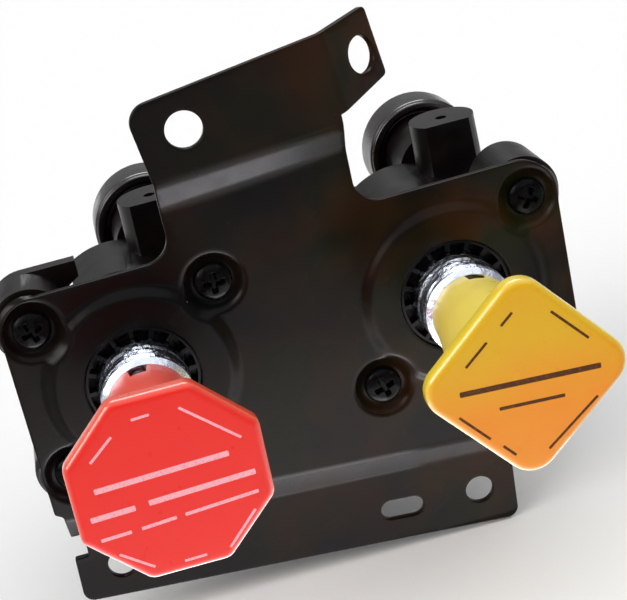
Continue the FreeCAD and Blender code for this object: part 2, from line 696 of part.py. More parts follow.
def rear_manifold():
    """Moulded rear cover with the air ports, the shuttle chamber and the necks of the two round caps."""
    slab = manifold_plate(MANIFOLD_FRONT, MANIFOLD_REAR)
    necks = []
    groove = CAP_SEAL_DEPTH + CAP_SEAL_CORD / 2
    for x in (RED_X, YELLOW_X):
        cx = x + CAP_OFFSET_X
        spigot = rod_y(cx, CAP_Z, CAP_BORE_R - SPIGOT_CLEARANCE, MANIFOLD_REAR - 1, MANIFOLD_REAR + SPIGOT_LENGTH)
        spigot = spigot.cut(tube_y(cx, CAP_Z, CAP_BORE_R - CAP_SEAL_CORD, CAP_BORE_R + 1,
                                   MANIFOLD_REAR + CAP_SEAL_DEPTH - CAP_SEAL_CORD / 2, MANIFOLD_REAR + groove))
        necks.append(rod_y(cx, CAP_Z, CAP_NECK_R, MANIFOLD_FRONT, MANIFOLD_REAR))
        necks.append(spigot)
    slab = slab.fuse(necks).removeSplitter()
    for x, z in port_places():
        slab = slab.cut(rod_y(x, z, PORT_INSERT_R, INSERT_FRONT, MANIFOLD_REAR + 1))
        slab = slab.cut(rod_y(x, z, PORT_POCKET_R, MANIFOLD_FRONT + PORT_FLOOR, MANIFOLD_REAR))
    for x, z in delivery_places():
        slab = slab.cut(rod_y(x, z, PASSAGE_R, MANIFOLD_FRONT - 1, MANIFOLD_REAR - 1))
    for x, z in stud_places():
        slab = slab.cut(rod_y(x, z, STUD_R + SCREW_HOLE_CLEARANCE, MANIFOLD_FRONT - 1, MANIFOLD_REAR + 1))
    return slab.cut(shuttle_space())


def port_places():
    """Centres of the threaded air ports on the rear face."""
    return [(x, PORT_Z) for x in PORT_XS]


def delivery_places():
    """Centres of the two outer ports, which lead to the chambers behind the spools."""
    return [(PORT_XS[0], PORT_Z), (PORT_XS[-1], PORT_Z)]


def port_inserts():
    """Threaded brass inserts in the rear air ports."""
    inserts = []
    for x, z in port_places():
        insert = rod_y(x, z, PORT_INSERT_R, INSERT_FRONT, MANIFOLD_REAR)
        insert = insert.fuse(rod_y(x, z, PORT_FLANGE_R, MANIFOLD_REAR, MANIFOLD_REAR + PORT_FLANGE))
        insert = insert.cut(rod_y(x, z, PORT_R, INSERT_FRONT - 1, MANIFOLD_REAR + PORT_FLANGE + 1))
        inserts.append(insert.removeSplitter())
    return Part.makeCompound(inserts)


def port_cap(axis_x):
    """Round cap over one rear chamber: thick rim, dished front face and a hub."""
    front = MANIFOLD_REAR
    hub = CAP_NECK_R + CAP_HUB_WALL
    dish_r = CAP_R - CAP_RIM
    return turned(axis_x + CAP_OFFSET_X, CAP_Z, [
        (CAP_BORE_R, front), (hub, front), (hub + CAP_HUB_WALL, front + CAP_DISH),
        (dish_r - CAP_DISH_SLOPE, front + CAP_DISH), (dish_r + CAP_DISH_SLOPE, front),
        (CAP_R - CAP_LIP, front), (CAP_R, front + CAP_LIP),
        (CAP_R, CAP_REAR - CAP_CHAMFER), (CAP_R - CAP_CHAMFER, CAP_REAR),
        (0.0, CAP_REAR), (0.0, front + CAP_FLOOR), (CAP_BORE_R, front + CAP_FLOOR),
    ])


def cap_seals():
    """O-rings round the spigots of the two round caps."""
    cord_r = CAP_SEAL_CORD / 2
    seals = []
    for x in (RED_X, YELLOW_X):
        seals.append(torus_y(x + CAP_OFFSET_X, CAP_Z, CAP_BORE_R - cord_r, cord_r, MANIFOLD_REAR + CAP_SEAL_DEPTH))
    return Part.makeCompound(seals)


def manifold_screws():
    """Cheese-head screws that hold the rear manifold to the body."""
    screws = []
    for x, z in stud_places():
        shank = rod_y(x, z, STUD_R, MANIFOLD_REAR - STUD_LENGTH, MANIFOLD_REAR)
        head = rod_y(x, z, STUD_HEAD_R, MANIFOLD_REAR, MANIFOLD_REAR + STUD_HEAD_HEIGHT)
        socket = rod_y(x, z, STUD_SOCKET_R, MANIFOLD_REAR + STUD_SOCKET_FLOOR, MANIFOLD_REAR + STUD_HEAD_HEIGHT + 1)
        screws.append(shank.fuse(head).cut(socket).removeSplitter())
    return Part.makeCompound(screws)


def shuttle():
    """Free shuttle of the double check valve, which shuts the supply port with less pressure."""
    half = SHUTTLE_LENGTH / 2
    body = rod_x(SHUTTLE_Y, PORT_Z, SHUTTLE_R, -half, half)
    waist = rod_x(SHUTTLE_Y, PORT_Z, SHUTTLE_R + 1, -SHUTTLE_WAIST / 2, SHUTTLE_WAIST / 2)
    core = rod_x(SHUTTLE_Y, PORT_Z, SHUTTLE_WAIST_R, -half, half)
    return body.cut(waist.cut(core))


def plate_screws():
    """Cross-recessed pan-head screws through the plate into the body's lugs."""
    screws = []
    for x, z in SCREW_PLACES:
        seat = BOWL_DEPTH
        head = turned(x, z, [
            (0.0, seat), (SCREW_HEAD_R, seat), (SCREW_HEAD_R, seat - 1.1),
            (SCREW_HEAD_R - 0.7, seat - 2.1), (SCREW_HEAD_R - 2.0, seat - 2.7),
            (0.0, seat - SCREW_HEAD_HEIGHT),
        ])
        shank = rod_y(x, z, SCREW_R, seat - 0.5, seat + SCREW_LENGTH)
        top = seat - SCREW_HEAD_HEIGHT
        a, b = RECESS_LENGTH / 2, RECESS_WIDTH / 2
        cross = block(x - a, x + a, top - 1, top + RECESS_DEPTH, z - b, z + b)
        cross = cross.fuse(block(x - b, x + b, top - 1, top + RECESS_DEPTH, z - a, z + a))
        cross.rotate(V(x, 0, z), AXIS, RECESS_TURN + RECESS_TURN_STEP * x / OUTER_SCREW_X)
        screws.append(head.fuse(shank).cut(cross).removeSplitter())
    return Part.makeCompound(screws)


def guide_ring(axis_x):
    """Ring that guides the plunger in the barrel's mouth, with a row of moulded pockets in its front."""
    ring = tube_y(axis_x, 0, GUIDE_BORE_R, GUIDE_R, GUIDE_FRONT, GUIDE_REAR)
    pocket = tube_y(axis_x, 0, GUIDE_BORE_R - 1, GUIDE_R - GUIDE_WALL, GUIDE_FRONT - 1,
                    GUIDE_FRONT + GUIDE_POCKET_DEPTH)
    ribs = []
    for i in range(GUIDE_POCKETS):
        rib = block(axis_x + GUIDE_BORE_R - 2, axis_x + GUIDE_R, GUIDE_FRONT - 2, GUIDE_REAR,
                    -GUIDE_RIB / 2, GUIDE_RIB / 2)
        rib.rotate(V(axis_x, 0, 0), AXIS, 360.0 * i / GUIDE_POCKETS)
        ribs.append(rib)
    ring = ring.cut(pocket.cut(Part.makeCompound(ribs)))
    half = WIPER_CORD / 2 + WIPER_SIDE_GAP
    groove = tube_y(axis_x, 0, GUIDE_BORE_R - 1, WIPER_GROOVE_R, WIPER_Y - half, WIPER_Y + half)
    return ring.cut(groove)


def wiper_ring(axis_x):
    """Wiper O-ring in the guide ring's groove, running on the plunger."""
    cord_r = (WIPER_GROOVE_R - SLEEVE_R - SEAL_SQUEEZE_GAP) / 2
    return torus_y(axis_x, 0, SLEEVE_R + SEAL_SQUEEZE_GAP + cord_r, cord_r, WIPER_Y)


def plunger(axis_x):
    """Plated plunger: stem in the knob, stepped collar, running surface and tail for the spool."""
    profile = [(0.0, STEM_FRONT), (STEM_R - 0.8, STEM_FRONT), (STEM_R, STEM_FRONT + 0.8)]
    profile.append((STEM_R, KNOB_REAR))
    steps = [(COLLAR_R, KNOB_REAR)] + list(reversed(STEM_STEPS))
    for i, (r, y) in enumerate(steps):
        rear = steps[i + 1][1] if i + 1 < len(steps) else SLEEVE_FRONT
        profile += [(r - 0.25, y), (r, y + 0.25), (r, rear - 0.35), (r - 0.3, rear)]
    groove_r = TAIL_R - CLIP_GROOVE_DEPTH
    profile += [(SLEEVE_R - 0.3, SLEEVE_FRONT), (SLEEVE_R, SLEEVE_FRONT + 0.3), (SLEEVE_R, SLEEVE_REAR),
                (TAIL_R, SLEEVE_REAR), (TAIL_R, SPOOL_REAR), (groove_r, SPOOL_REAR),
                (groove_r, CLIP_GROOVE_REAR), (TAIL_R, CLIP_GROOVE_REAR), (TAIL_R, TAIL_REAR), (0.0, TAIL_REAR)]
    return turned(axis_x, 0, profile).cut(pin_hole(axis_x))


def spool_seal_places():
    """Depths of the O-rings along the solid front of the spool at rest."""
    span = SPRING_POCKET_FLOOR - SPOOL_FRONT
    return [SPOOL_FRONT + span * (i + 0.5) / SPOOL_SEALS for i in range(SPOOL_SEALS)]


def spool(axis_x):
    """Spool on the plunger's tail, with grooves for its O-rings and a pocket for the spring."""
    body = tube_y(axis_x, 0, TAIL_R, SPOOL_R, SPOOL_FRONT, SPOOL_REAR)
    sleeve_r = TAIL_R + SPOOL_SLEEVE_WALL
    body = body.cut(tube_y(axis_x, 0, sleeve_r, SPRING_POCKET_R, SPRING_POCKET_FLOOR, SPOOL_REAR + 1))
    half = SEAL_CORD / 2 + SEAL_SQUEEZE_GAP
    for y in spool_seal_places():
        body = body.cut(tube_y(axis_x, 0, SPOOL_R - SEAL_CORD, SPOOL_R + 1, y - half, y + half))
    return body


def spool_seals(axis_x):
    """O-rings of one spool, seated on the groove floors and just proud of the lands."""
    cord_r = (SEAL_CORD + SEAL_SQUEEZE_GAP) / 2
    ring_r = SPOOL_R - SEAL_CORD + cord_r
    return Part.makeCompound([torus_y(axis_x, 0, ring_r, cord_r, y) for y in spool_seal_places()])


def spring(axis_x):
    """Return spring on a helix from the spool's pocket to the seat."""
    start = SPRING_POCKET_FLOOR + SPRING_WIRE_R + SPRING_END_GAP
    end = BORE_REAR - SEAT_THICKNESS - SPRING_WIRE_R - SPRING_END_GAP
    helix = Part.makeHelix((end - start) / SPRING_TURNS, end - start, SPRING_MEAN_R)
    section = Part.Wire(Part.makeCircle(SPRING_WIRE_R, V(SPRING_MEAN_R, 0, 0), V(0, 1, 0)))
    coil = Part.Wire(helix.Edges).makePipeShell([section], True, True)
    coil.rotate(V(0, 0, 0), V(1, 0, 0), -90)
    coil.translate(V(axis_x, start, 0))
    return coil


def spring_seat(axis_x):
    """Steel washer at the bottom of the bore that the spring pushes on."""
    return tube_y(axis_x, 0, TAIL_R + SPOOL_SLEEVE_WALL, SEAT_R, BORE_REAR - SEAT_THICKNESS, BORE_REAR)


def retaining_clip(axis_x):
    """Open clip in the tail's groove that keeps the spool on the plunger."""
    clip = tube_y(axis_x, 0, TAIL_R - CLIP_GROOVE_DEPTH, CLIP_R, SPOOL_REAR, SPOOL_REAR + CLIP_THICKNESS)
    half = CLIP_MOUTH / 2
    mouth = block(axis_x - half, axis_x + half, SPOOL_REAR - 1, CLIP_GROOVE_REAR + 1, -CLIP_R - 1, 0)
    return clip.cut(mouth)


def pin_hole(axis_x):
    """Cutter for the cross pin, which goes in from below and ends short of the stem's top."""
    return rod_z(axis_x, PIN_Y, PIN_R, -KNOB_FLARE_R, PIN_TOP)


def knob_stem_curve(axis_x, back):
    """Outer line of a knob's stem: a gentle taper that flares out into the head."""
    points = [
        V(axis_x + KNOB_RIM_R, KNOB_REAR, 0),
        V(axis_x + KNOB_MID_R, KNOB_REAR - KNOB_MID_REACH, 0),
        V(axis_x + KNOB_NECK_R, back + KNOB_FLARE_LENGTH, 0),
        V(axis_x + KNOB_FLARE_R, back, 0),
    ]
    curve = Part.BSplineCurve()
    curve.interpolate(points)
    return curve.toShape()


def knob_stem(axis_x, back):
    """Stem turned from its outer line, reaching a little into the head."""
    outer = knob_stem_curve(axis_x, back)
    corners = [
        V(axis_x + KNOB_FLARE_R, back, 0),
        V(axis_x + KNOB_FLARE_R, back - KNOB_ROOT, 0),
        V(axis_x, back - KNOB_ROOT, 0),
        V(axis_x, KNOB_REAR, 0),
        V(axis_x + KNOB_RIM_R, KNOB_REAR, 0),
    ]
    edges = [outer] + [Part.LineSegment(p, q).toShape() for p, q in zip(corners, corners[1:])]
    return Part.Face(Part.Wire(edges)).revolve(V(axis_x, 0, 0), AXIS, 360)


def knob(axis_x, head, back, notch_angle):
    """Moulded knob: shaped head on a hollow flared stem with a small notch in its rear rim."""
    body = head.fuse(knob_stem(axis_x, back)).removeSplitter()
    hollow_r = KNOB_RIM_R - KNOB_RIM_WALL
    body = body.cut(rod_y(axis_x, 0, hollow_r, KNOB_REAR - KNOB_HOLLOW_DEPTH, KNOB_REAR + 1))
    body = body.cut(rod_y(axis_x, 0, STEM_R + KNOB_STEM_CLEARANCE, STEM_FRONT - STEM_END_GAP, KNOB_REAR + 1))
    body = body.cut(pin_hole(axis_x))
    half = KNOB_NOTCH_WIDTH / 2
    notch = block(axis_x - half, axis_x + half, KNOB_REAR - KNOB_NOTCH_DEPTH, KNOB_REAR + 1,
                  hollow_r - 1, KNOB_RIM_R + 2)
    notch.rotate(V(axis_x, 0, 0), AXIS, notch_angle)
    return body.cut(notch)


def soft_edges(solid, face_y, back_y):
    """Round the front rim of a knob's head, and its rear rim a little less."""
    front = [e for e in solid.Edges if abs(e.BoundBox.YMin - face_y) < 1e-6 and abs(e.BoundBox.YMax - face_y) < 1e-6]
    solid = solid.makeFillet(FACE_ROUND, front)
    rear = [e for e in solid.Edges if abs(e.BoundBox.YMin - back_y) < 1e-6 and abs(e.BoundBox.YMax - back_y) < 1e-6]
    return solid.makeFillet(FACE_ROUND * 0.6, rear)


def regular_head(axis_x, sides, corner_r, flats, face_y, depth, turn, first):
    """Flat head with equal sides, rounded corners and softened rims."""
    reach = flats / 2 / math.cos(math.pi / sides)
    corners = []
    for i in range(sides):
        angle = math.radians(first + turn) + 2 * math.pi * i / sides
        corners.append((axis_x + reach * math.sin(angle), reach * math.cos(angle), corner_r))
    head = prism(corners, face_y, face_y + depth)
    return soft_edges(head, face_y, face_y + depth)


def red_knob():
    """Eight-sided knob."""
    head = regular_head(RED_X, 8, RED_CORNER_R, RED_FLATS, RED_FACE, RED_FLANGE, -RED_TURN, 22.5)
    return knob(RED_X, head, RED_FACE + RED_FLANGE, RED_NOTCH_ANGLE)


def yellow_knob():
    """Square knob that stands on its corner."""
    head = regular_head(YELLOW_X, 4, YELLOW_CORNER_R, YELLOW_SIDE, YELLOW_FACE, YELLOW_FLANGE, -YELLOW_TURN, 0.0)
    return knob(YELLOW_X, head, YELLOW_FACE + YELLOW_FLANGE, YELLOW_NOTCH_ANGLE)


def knob_pin(axis_x):
    """Cross pin that holds a knob on its plunger, pressed in from below."""
    return rod_z(axis_x, PIN_Y, PIN_R, PIN_RECESS - KNOB_MID_R, PIN_TOP)


def main():
    """Build and write every sub-part."""
    os.makedirs("parts", exist_ok=True)
    save(mounting_plate(), "mounting_plate")
    save(plate_screws(), "plate_screws")
    save(valve_body(), "valve_body")
    save(manifold_gasket(), "manifold_gasket")
    save(rear_manifold(), "rear_manifold")
    save(manifold_screws(), "manifold_screws")
    save(port_inserts(), "port_inserts")
    save(port_cap(RED_X), "left_port_cap")
    save(port_cap(YELLOW_X), "right_port_cap")
    save(cap_seals(), "cap_seals")
    save(shuttle(), "check_shuttle")
    save(red_knob(), "red_knob")
    save(yellow_knob(), "yellow_knob")
    for name, x in (("red", RED_X), ("yellow", YELLOW_X)):
        save(guide_ring(x), name + "_guide_ring")
        save(wiper_ring(x), name + "_wiper_ring")
        save(plunger(x), name + "_plunger")
        save(knob_pin(x), name + "_knob_pin")
        save(spool(x), name + "_spool")
        save(spool_seals(x), name + "_spool_seals")
        save(spring(x), name + "_return_spring")
        save(spring_seat(x), name + "_spring_seat")
        save(retaining_clip(x), name + "_retaining_clip")


main()
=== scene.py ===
"""Looks of a twin push-pull air valve: a bent black plate, two plated plungers and their moulded knobs.

Lengths in the classes are millimetres in the part's own frame: X to the right, Y from the knobs to the
rear ports, Z up, with the origin midway between the plunger axes on the front of the plate.
"""

import json
import logging
import math
from dataclasses import dataclass, field
from enum import Enum
from typing import Sequence

import bmesh
import bpy
import numpy as np
from mathutils import Matrix, Vector
from mathutils.geometry import delaunay_2d_cdt

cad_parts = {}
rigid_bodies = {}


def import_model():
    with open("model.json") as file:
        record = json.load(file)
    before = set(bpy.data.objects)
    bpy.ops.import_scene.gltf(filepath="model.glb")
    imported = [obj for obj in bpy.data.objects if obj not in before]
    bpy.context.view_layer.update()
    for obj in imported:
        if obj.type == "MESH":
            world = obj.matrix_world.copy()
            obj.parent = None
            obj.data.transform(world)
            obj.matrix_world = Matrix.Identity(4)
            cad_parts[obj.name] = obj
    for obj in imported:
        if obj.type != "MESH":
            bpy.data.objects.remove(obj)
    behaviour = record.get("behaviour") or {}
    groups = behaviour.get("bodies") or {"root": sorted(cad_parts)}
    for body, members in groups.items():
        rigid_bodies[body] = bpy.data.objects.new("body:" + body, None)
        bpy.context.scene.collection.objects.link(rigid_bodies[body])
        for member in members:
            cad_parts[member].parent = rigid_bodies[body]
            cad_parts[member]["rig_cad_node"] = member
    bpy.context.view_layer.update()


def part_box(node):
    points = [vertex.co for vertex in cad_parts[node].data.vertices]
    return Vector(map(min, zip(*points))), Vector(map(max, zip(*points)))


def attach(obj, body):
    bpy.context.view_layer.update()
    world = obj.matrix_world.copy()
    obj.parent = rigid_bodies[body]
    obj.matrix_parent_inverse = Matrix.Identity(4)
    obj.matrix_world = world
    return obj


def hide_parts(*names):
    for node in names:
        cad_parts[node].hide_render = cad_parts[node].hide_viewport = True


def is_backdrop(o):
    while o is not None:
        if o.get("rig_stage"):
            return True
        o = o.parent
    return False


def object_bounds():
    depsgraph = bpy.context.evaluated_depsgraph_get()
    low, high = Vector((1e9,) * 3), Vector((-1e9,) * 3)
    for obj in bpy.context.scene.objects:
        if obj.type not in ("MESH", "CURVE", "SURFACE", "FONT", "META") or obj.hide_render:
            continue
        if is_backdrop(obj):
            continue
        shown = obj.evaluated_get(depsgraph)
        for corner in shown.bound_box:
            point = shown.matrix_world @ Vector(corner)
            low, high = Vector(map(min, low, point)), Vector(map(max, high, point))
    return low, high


MM = 0.001
TAU = 2.0 * math.pi
LOG = logging.getLogger("dash_control_valve")


class Side(Enum):
    """The two plungers, by the colour of their knobs."""

    RED = "red"
    YELLOW = "yellow"

    @property
    def body(self) -> str:
        """Name of the moving CAD body.

        Returns:
            The body's name in the frame.
        """
        return f"{self.value}_plunger_body"

    @property
    def axis_x(self) -> float:
        """X of the plunger's axis, in millimetres, from the middle of its CAD pin.

        Returns:
            X in millimetres.
        """
        low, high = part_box(f"{self.value}_plunger")
        return (low.x + high.x) / 2 / MM


# Small geometry helpers, all on whole numpy arrays


def round_corners(corners: Sequence[tuple[float, float, float]], closed: bool = True,
                  step: float = 0.45) -> np.ndarray:
    """Replaces each corner of a polyline by an arc tangent to its two sides.

    The arc's centre lies on the corner's bisector, at r / sin(half the corner's angle).

    Args:
        corners: (a, b, radius) of each corner; radius 0 keeps it sharp.
        closed: whether the last corner joins the first.
        step: distance between points on an arc.

    Returns:
        Points of the rounded line, one row each.
    """
    points = []
    count = len(corners)
    for i, (a, b, radius) in enumerate(corners):
        here = np.array([a, b])
        if radius <= 0 or (not closed and i in (0, count - 1)):
            points.append(here[None])
            continue
        u = np.array(corners[i - 1][:2]) - here
        w = np.array(corners[(i + 1) % count][:2]) - here
        u /= np.linalg.norm(u)
        w /= np.linalg.norm(w)
        half = math.acos(float(np.clip(u @ w, -1, 1))) / 2
        middle = (u + w) / np.linalg.norm(u + w)
        centre = here + middle * radius / math.sin(half)
        sweep = math.pi - 2 * half
        steps = max(int(math.ceil(radius * sweep / step)), 3)
        t = np.linspace(-sweep / 2, sweep / 2, steps + 1)
        side = u - (u @ middle) * middle
        side /= np.linalg.norm(side)
        points.append(centre - middle * (np.cos(t) * radius)[:, None] - side * (np.sin(t) * radius)[:, None])
    return np.concatenate(points)


def spaced(line: np.ndarray, step: float) -> np.ndarray:
    """Adds points to the long sides of a closed line, so that no side is longer than step.

    Args:
        line: points of the closed line.
        step: longest side that is kept.

    Returns:
        The line with its extra points.
    """
    following = np.roll(line, -1, axis=0)
    lengths = np.linalg.norm(following - line, axis=1)
    pieces = [p + (q - p) * np.linspace(0, 1, max(int(math.ceil(d / step)), 1), endpoint=False)[:, None]
              for p, q, d in zip(line, following, lengths)]
    return np.concatenate(pieces)


def ring_points(x: float, z: float, radius: float, count: int) -> np.ndarray:
    """Points evenly spaced on a circle in the XZ plane.

    Args:
        x: X of the centre.
        z: Z of the centre.
        radius: radius of the circle.
        count: number of points.

    Returns:
        The points, one row each.
    """
    t = np.arange(count) * TAU / count
    return np.stack([x + radius * np.cos(t), z + radius * np.sin(t)], 1)


def inward_normals(line: np.ndarray) -> np.ndarray:
    """Unit normals of a closed line that point to its left, from the chord between its neighbours.

    Args:
        line: points of the closed line.

    Returns:
        One unit normal for each point.
    """
    chord = np.roll(line, -1, axis=0) - np.roll(line, 1, axis=0)
    chord /= np.linalg.norm(chord, axis=1)[:, None]
    return np.stack([-chord[:, 1], chord[:, 0]], 1)


def inside(points: np.ndarray, line: np.ndarray) -> np.ndarray:
    """Tells which points lie inside a closed line, by counting crossings of a ray to the right.

    Args:
        points: points to test, one row each.
        line: points of the closed line.

    Returns:
        True for each point inside.
    """
    a = line
    b = np.roll(line, -1, axis=0)
    px, pz = points[:, :1], points[:, 1:]
    crosses = (a[:, 1] > pz) != (b[:, 1] > pz)
    run = (b[:, 0] - a[:, 0]) / np.where(b[:, 1] == a[:, 1], 1e-12, b[:, 1] - a[:, 1])
    reach = a[:, 0] + (pz - a[:, 1]) * run
    return (np.sum(crosses & (px < reach), axis=1) % 2) == 1


def soft_ramp(t: np.ndarray, half_width: float) -> np.ndarray:
    """Zero before t = 0 and t after it, with a parabola over the bend between, so its slope is unbroken.

    Args:
        t: distance past the bend line.
        half_width: half the width of the bend.

    Returns:
        The ramp's value at each t.
    """
    bend = (t + half_width) ** 2 / (4 * half_width)
    return np.where(t < -half_width, 0.0, np.where(t > half_width, t, bend))


def soft_maximum(a: np.ndarray, b: np.ndarray, width: float) -> np.ndarray:
    """The larger of two surfaces, with a fillet of the given width where they meet.

    Args:
        a: first surface.
        b: second surface.
        width: difference of height over which the fillet reaches.

    Returns:
        The joined surface.
    """
    near = np.clip(width - np.abs(a - b), 0, None) / width
    return np.maximum(a, b) + near * near * width / 4


def grid_quads(rows: int, columns: int, closed: bool = True) -> np.ndarray:
    """Corner numbers of the quads of a grid whose columns run round a closed ring.

    Args:
        rows: number of rings.
        columns: points in a ring.
        closed: whether the last column joins the first.

    Returns:
        Four corner numbers for each quad.
    """
    i = np.arange(rows - 1)[:, None] * columns
    j = np.arange(columns if closed else columns - 1)[None]
    k = (j + 1) % columns
    return np.stack([i + j, i + k, i + columns + k, i + columns + j], -1).reshape(-1, 4)


def mesh_piece(name: str, points: np.ndarray, faces: np.ndarray, sharp_deg: float = 35.0,
               weld: float = 0.002) -> bpy.types.Object:
    """Makes a closed smooth-shaded object from points and faces.

    Args:
        name: name of the object.
        points: places in millimetres, one row each.
        faces: corner numbers, three or four a row.
        sharp_deg: edges that turn more than this stay sharp.
        weld: points nearer than this, in millimetres, become one.

    Returns:
        The linked object, with its place in its mesh.
    """
    mesh = bpy.data.meshes.new(name)
    corners = faces.shape[1]
    mesh.vertices.add(len(points))
    mesh.vertices.foreach_set("co", (points * MM).astype(np.float32).ravel())
    mesh.loops.add(faces.size)
    mesh.loops.foreach_set("vertex_index", faces.astype(np.int32).ravel())
    mesh.polygons.add(len(faces))
    mesh.polygons.foreach_set("loop_start", np.arange(0, faces.size, corners, dtype=np.int32))
    mesh.update(calc_edges=True)
    clean = bmesh.new()
    clean.from_mesh(mesh)
    bmesh.ops.remove_doubles(clean, verts=clean.verts, dist=weld * MM)
    bmesh.ops.dissolve_degenerate(clean, edges=clean.edges, dist=weld * MM)
    bmesh.ops.recalc_face_normals(clean, faces=clean.faces)
    clean.to_mesh(mesh)
    clean.free()
    mesh.polygons.foreach_set("use_smooth", np.ones(len(mesh.polygons), bool))
    mesh.set_sharp_from_angle(angle=math.radians(sharp_deg))
    mesh.update()
    piece = bpy.data.objects.new(name, mesh)
    bpy.context.scene.collection.objects.link(piece)
    LOG.info("%s: %d faces", name, len(mesh.polygons))
    return piece


def turned_piece(name: str, profile: np.ndarray, axis_x: float, axis_z: float = 0.0, segments: int = 128,
                 sharp_deg: float = 35.0) -> bpy.types.Object:
    """Turns a closed profile of (radius, y) points about an axis along Y.

    A point at angle t is (axis_x + r cos t, y, axis_z + r sin t).

    Args:
        name: name of the object.
        profile: closed loop of (radius, y), in millimetres.
        axis_x: X of the axis.
        axis_z: Z of the axis.
        segments: steps round the axis.
        sharp_deg: edges that turn more than this stay sharp.

    Returns:
        The turned object.
    """
    loop = np.vstack([profile, profile[:1]])
    t = np.arange(segments) * TAU / segments
    r, y = loop[:, :1], loop[:, 1:]
    depth = np.broadcast_to(y, (len(loop), segments))
    points = np.stack([axis_x + r * np.cos(t), depth, axis_z + r * np.sin(t)], -1)
    return mesh_piece(name, points.reshape(-1, 3), grid_quads(len(loop), segments), sharp_deg)


# Materials


def linear(code: str) -> tuple[float, float, float, float]:
    """Turns an sRGB hex code into linear RGB with full alpha.

    Args:
        code: colour as #rrggbb.

    Returns:
        Red, green, blue and alpha.
    """
    values = [int(code[i:i + 2], 16) / 255 for i in (1, 3, 5)]
    red, green, blue = [v / 12.92 if v <= 0.04045 else ((v + 0.055) / 1.055) ** 2.4 for v in values]
    return red, green, blue, 1.0


def add_node(tree: bpy.types.NodeTree, kind: str, settings: dict | None = None,
             links: dict | None = None) -> bpy.types.Node:
    """Adds a node, sets its options and input values, and links sockets into it.

    Args:
        tree: node tree to add to.
        kind: Blender's type name of the node.
        settings: values by input name or number, or by the name of an option of the node.
        links: output sockets by the name or number of the input that they feed.

    Returns:
        The new node.
    """
    node = tree.nodes.new(kind)
    for key, value in (settings or {}).items():
        if isinstance(key, int) or key in node.inputs:
            node.inputs[key].default_value = value
        else:
            setattr(node, key, value)
    for key, socket in (links or {}).items():
        tree.links.new(socket, node.inputs[key])
    return node


def ramp(tree: bpy.types.NodeTree, source: bpy.types.NodeSocket,
         stops: Sequence[tuple[float, str]]) -> bpy.types.NodeSocket:
    """Colour ramp from a 0 to 1 value, with its stops as (place, hex colour).

    Args:
        tree: node tree of the material.
        source: socket with a value from 0 to 1.
        stops: place and hex colour of each stop.

    Returns:
        The socket with the colour.
    """
    node = add_node(tree, "ShaderNodeValToRGB", links={"Fac": source})
    elements = node.color_ramp.elements
    while len(elements) < len(stops):
        elements.new(0.5)
    for element, (place, code) in zip(elements, stops):
        element.position = place
        element.color = linear(code)
    return node.outputs["Color"]


def between(tree: bpy.types.NodeTree, value: bpy.types.NodeSocket, low: float, high: float,
            to_low: float = 0.0, to_high: float = 1.0) -> bpy.types.NodeSocket:
    """Maps a value from one range to another, held at its ends.

    Args:
        tree: node tree of the material.
        value: socket with the value.
        low: value that gives to_low.
        high: value that gives to_high.
        to_low: result at low.
        to_high: result at high.

    Returns:
        The socket with the result.
    """
    node = add_node(tree, "ShaderNodeMapRange", {"clamp": True, "From Min": low, "From Max": high,
                                                 "To Min": to_low, "To Max": to_high}, {"Value": value})
    return node.outputs["Result"]


def noise(tree: bpy.types.NodeTree, place: bpy.types.NodeSocket, size_mm: float, detail: float = 2.0,
          roughness: float = 0.5) -> bpy.types.NodeSocket:
    """Noise whose blotches are about size_mm across, read in object space.

    Args:
        tree: node tree of the material.
        place: socket that gives the place in object space.
        size_mm: size of a blotch, in millimetres.
        detail: number of finer octaves.
        roughness: strength of the finer octaves.

    Returns:
        The socket with a value from 0 to 1.
    """
    node = add_node(tree, "ShaderNodeTexNoise", {"Scale": 1 / (size_mm * MM), "Detail": detail,
                                                 "Roughness": roughness}, {"Vector": place})
    return node.outputs["Fac"]


def specks(tree: bpy.types.NodeTree, place: bpy.types.NodeSocket, cell_mm: float, radius_mm: float,
           share: float) -> bpy.types.NodeSocket:
    """Dust: a dot of radius_mm in a share of cells cell_mm wide, 1 on the dot and 0 off it.

    Args:
        tree: node tree of the material.
        place: socket that gives the place in object space.
        cell_mm: width of a cell, in millimetres.
        radius_mm: radius of a dot, in millimetres.
        share: share of the cells that hold a dot.

    Returns:
        The socket with the dots.
    """
    cells = add_node(tree, "ShaderNodeTexVoronoi", {"Scale": 1 / (cell_mm * MM)}, {"Vector": place})
    dot = between(tree, cells.outputs["Distance"], radius_mm / cell_mm, 0.55 * radius_mm / cell_mm)
    pick = add_node(tree, "ShaderNodeSeparateColor", links={"Color": cells.outputs["Color"]})
    chosen = add_node(tree, "ShaderNodeMath", {"operation": "LESS_THAN", 1: share}, {0: pick.outputs["Red"]})
    both = add_node(tree, "ShaderNodeMath", {"operation": "MULTIPLY"}, {0: dot, 1: chosen.outputs[0]})
    return both.outputs[0]


def mixed(tree: bpy.types.NodeTree, factor: bpy.types.NodeSocket, first: bpy.types.NodeSocket,
          second: bpy.types.NodeSocket | str) -> bpy.types.NodeSocket:
    """Mix of two colours, where the second may be a hex code.

    Args:
        tree: node tree of the material.
        factor: socket with the share of the second colour.
        first: socket with the first colour.
        second: second colour, a socket or a hex code.

    Returns:
        The socket with the mixed colour.
    """
    node = tree.nodes.new("ShaderNodeMix")
    node.data_type = "RGBA"
    tree.links.new(factor, node.inputs["Factor"])
    tree.links.new(first, node.inputs[6])
    if isinstance(second, str):
        node.inputs[7].default_value = linear(second)
    else:
        tree.links.new(second, node.inputs[7])
    return node.outputs[2]


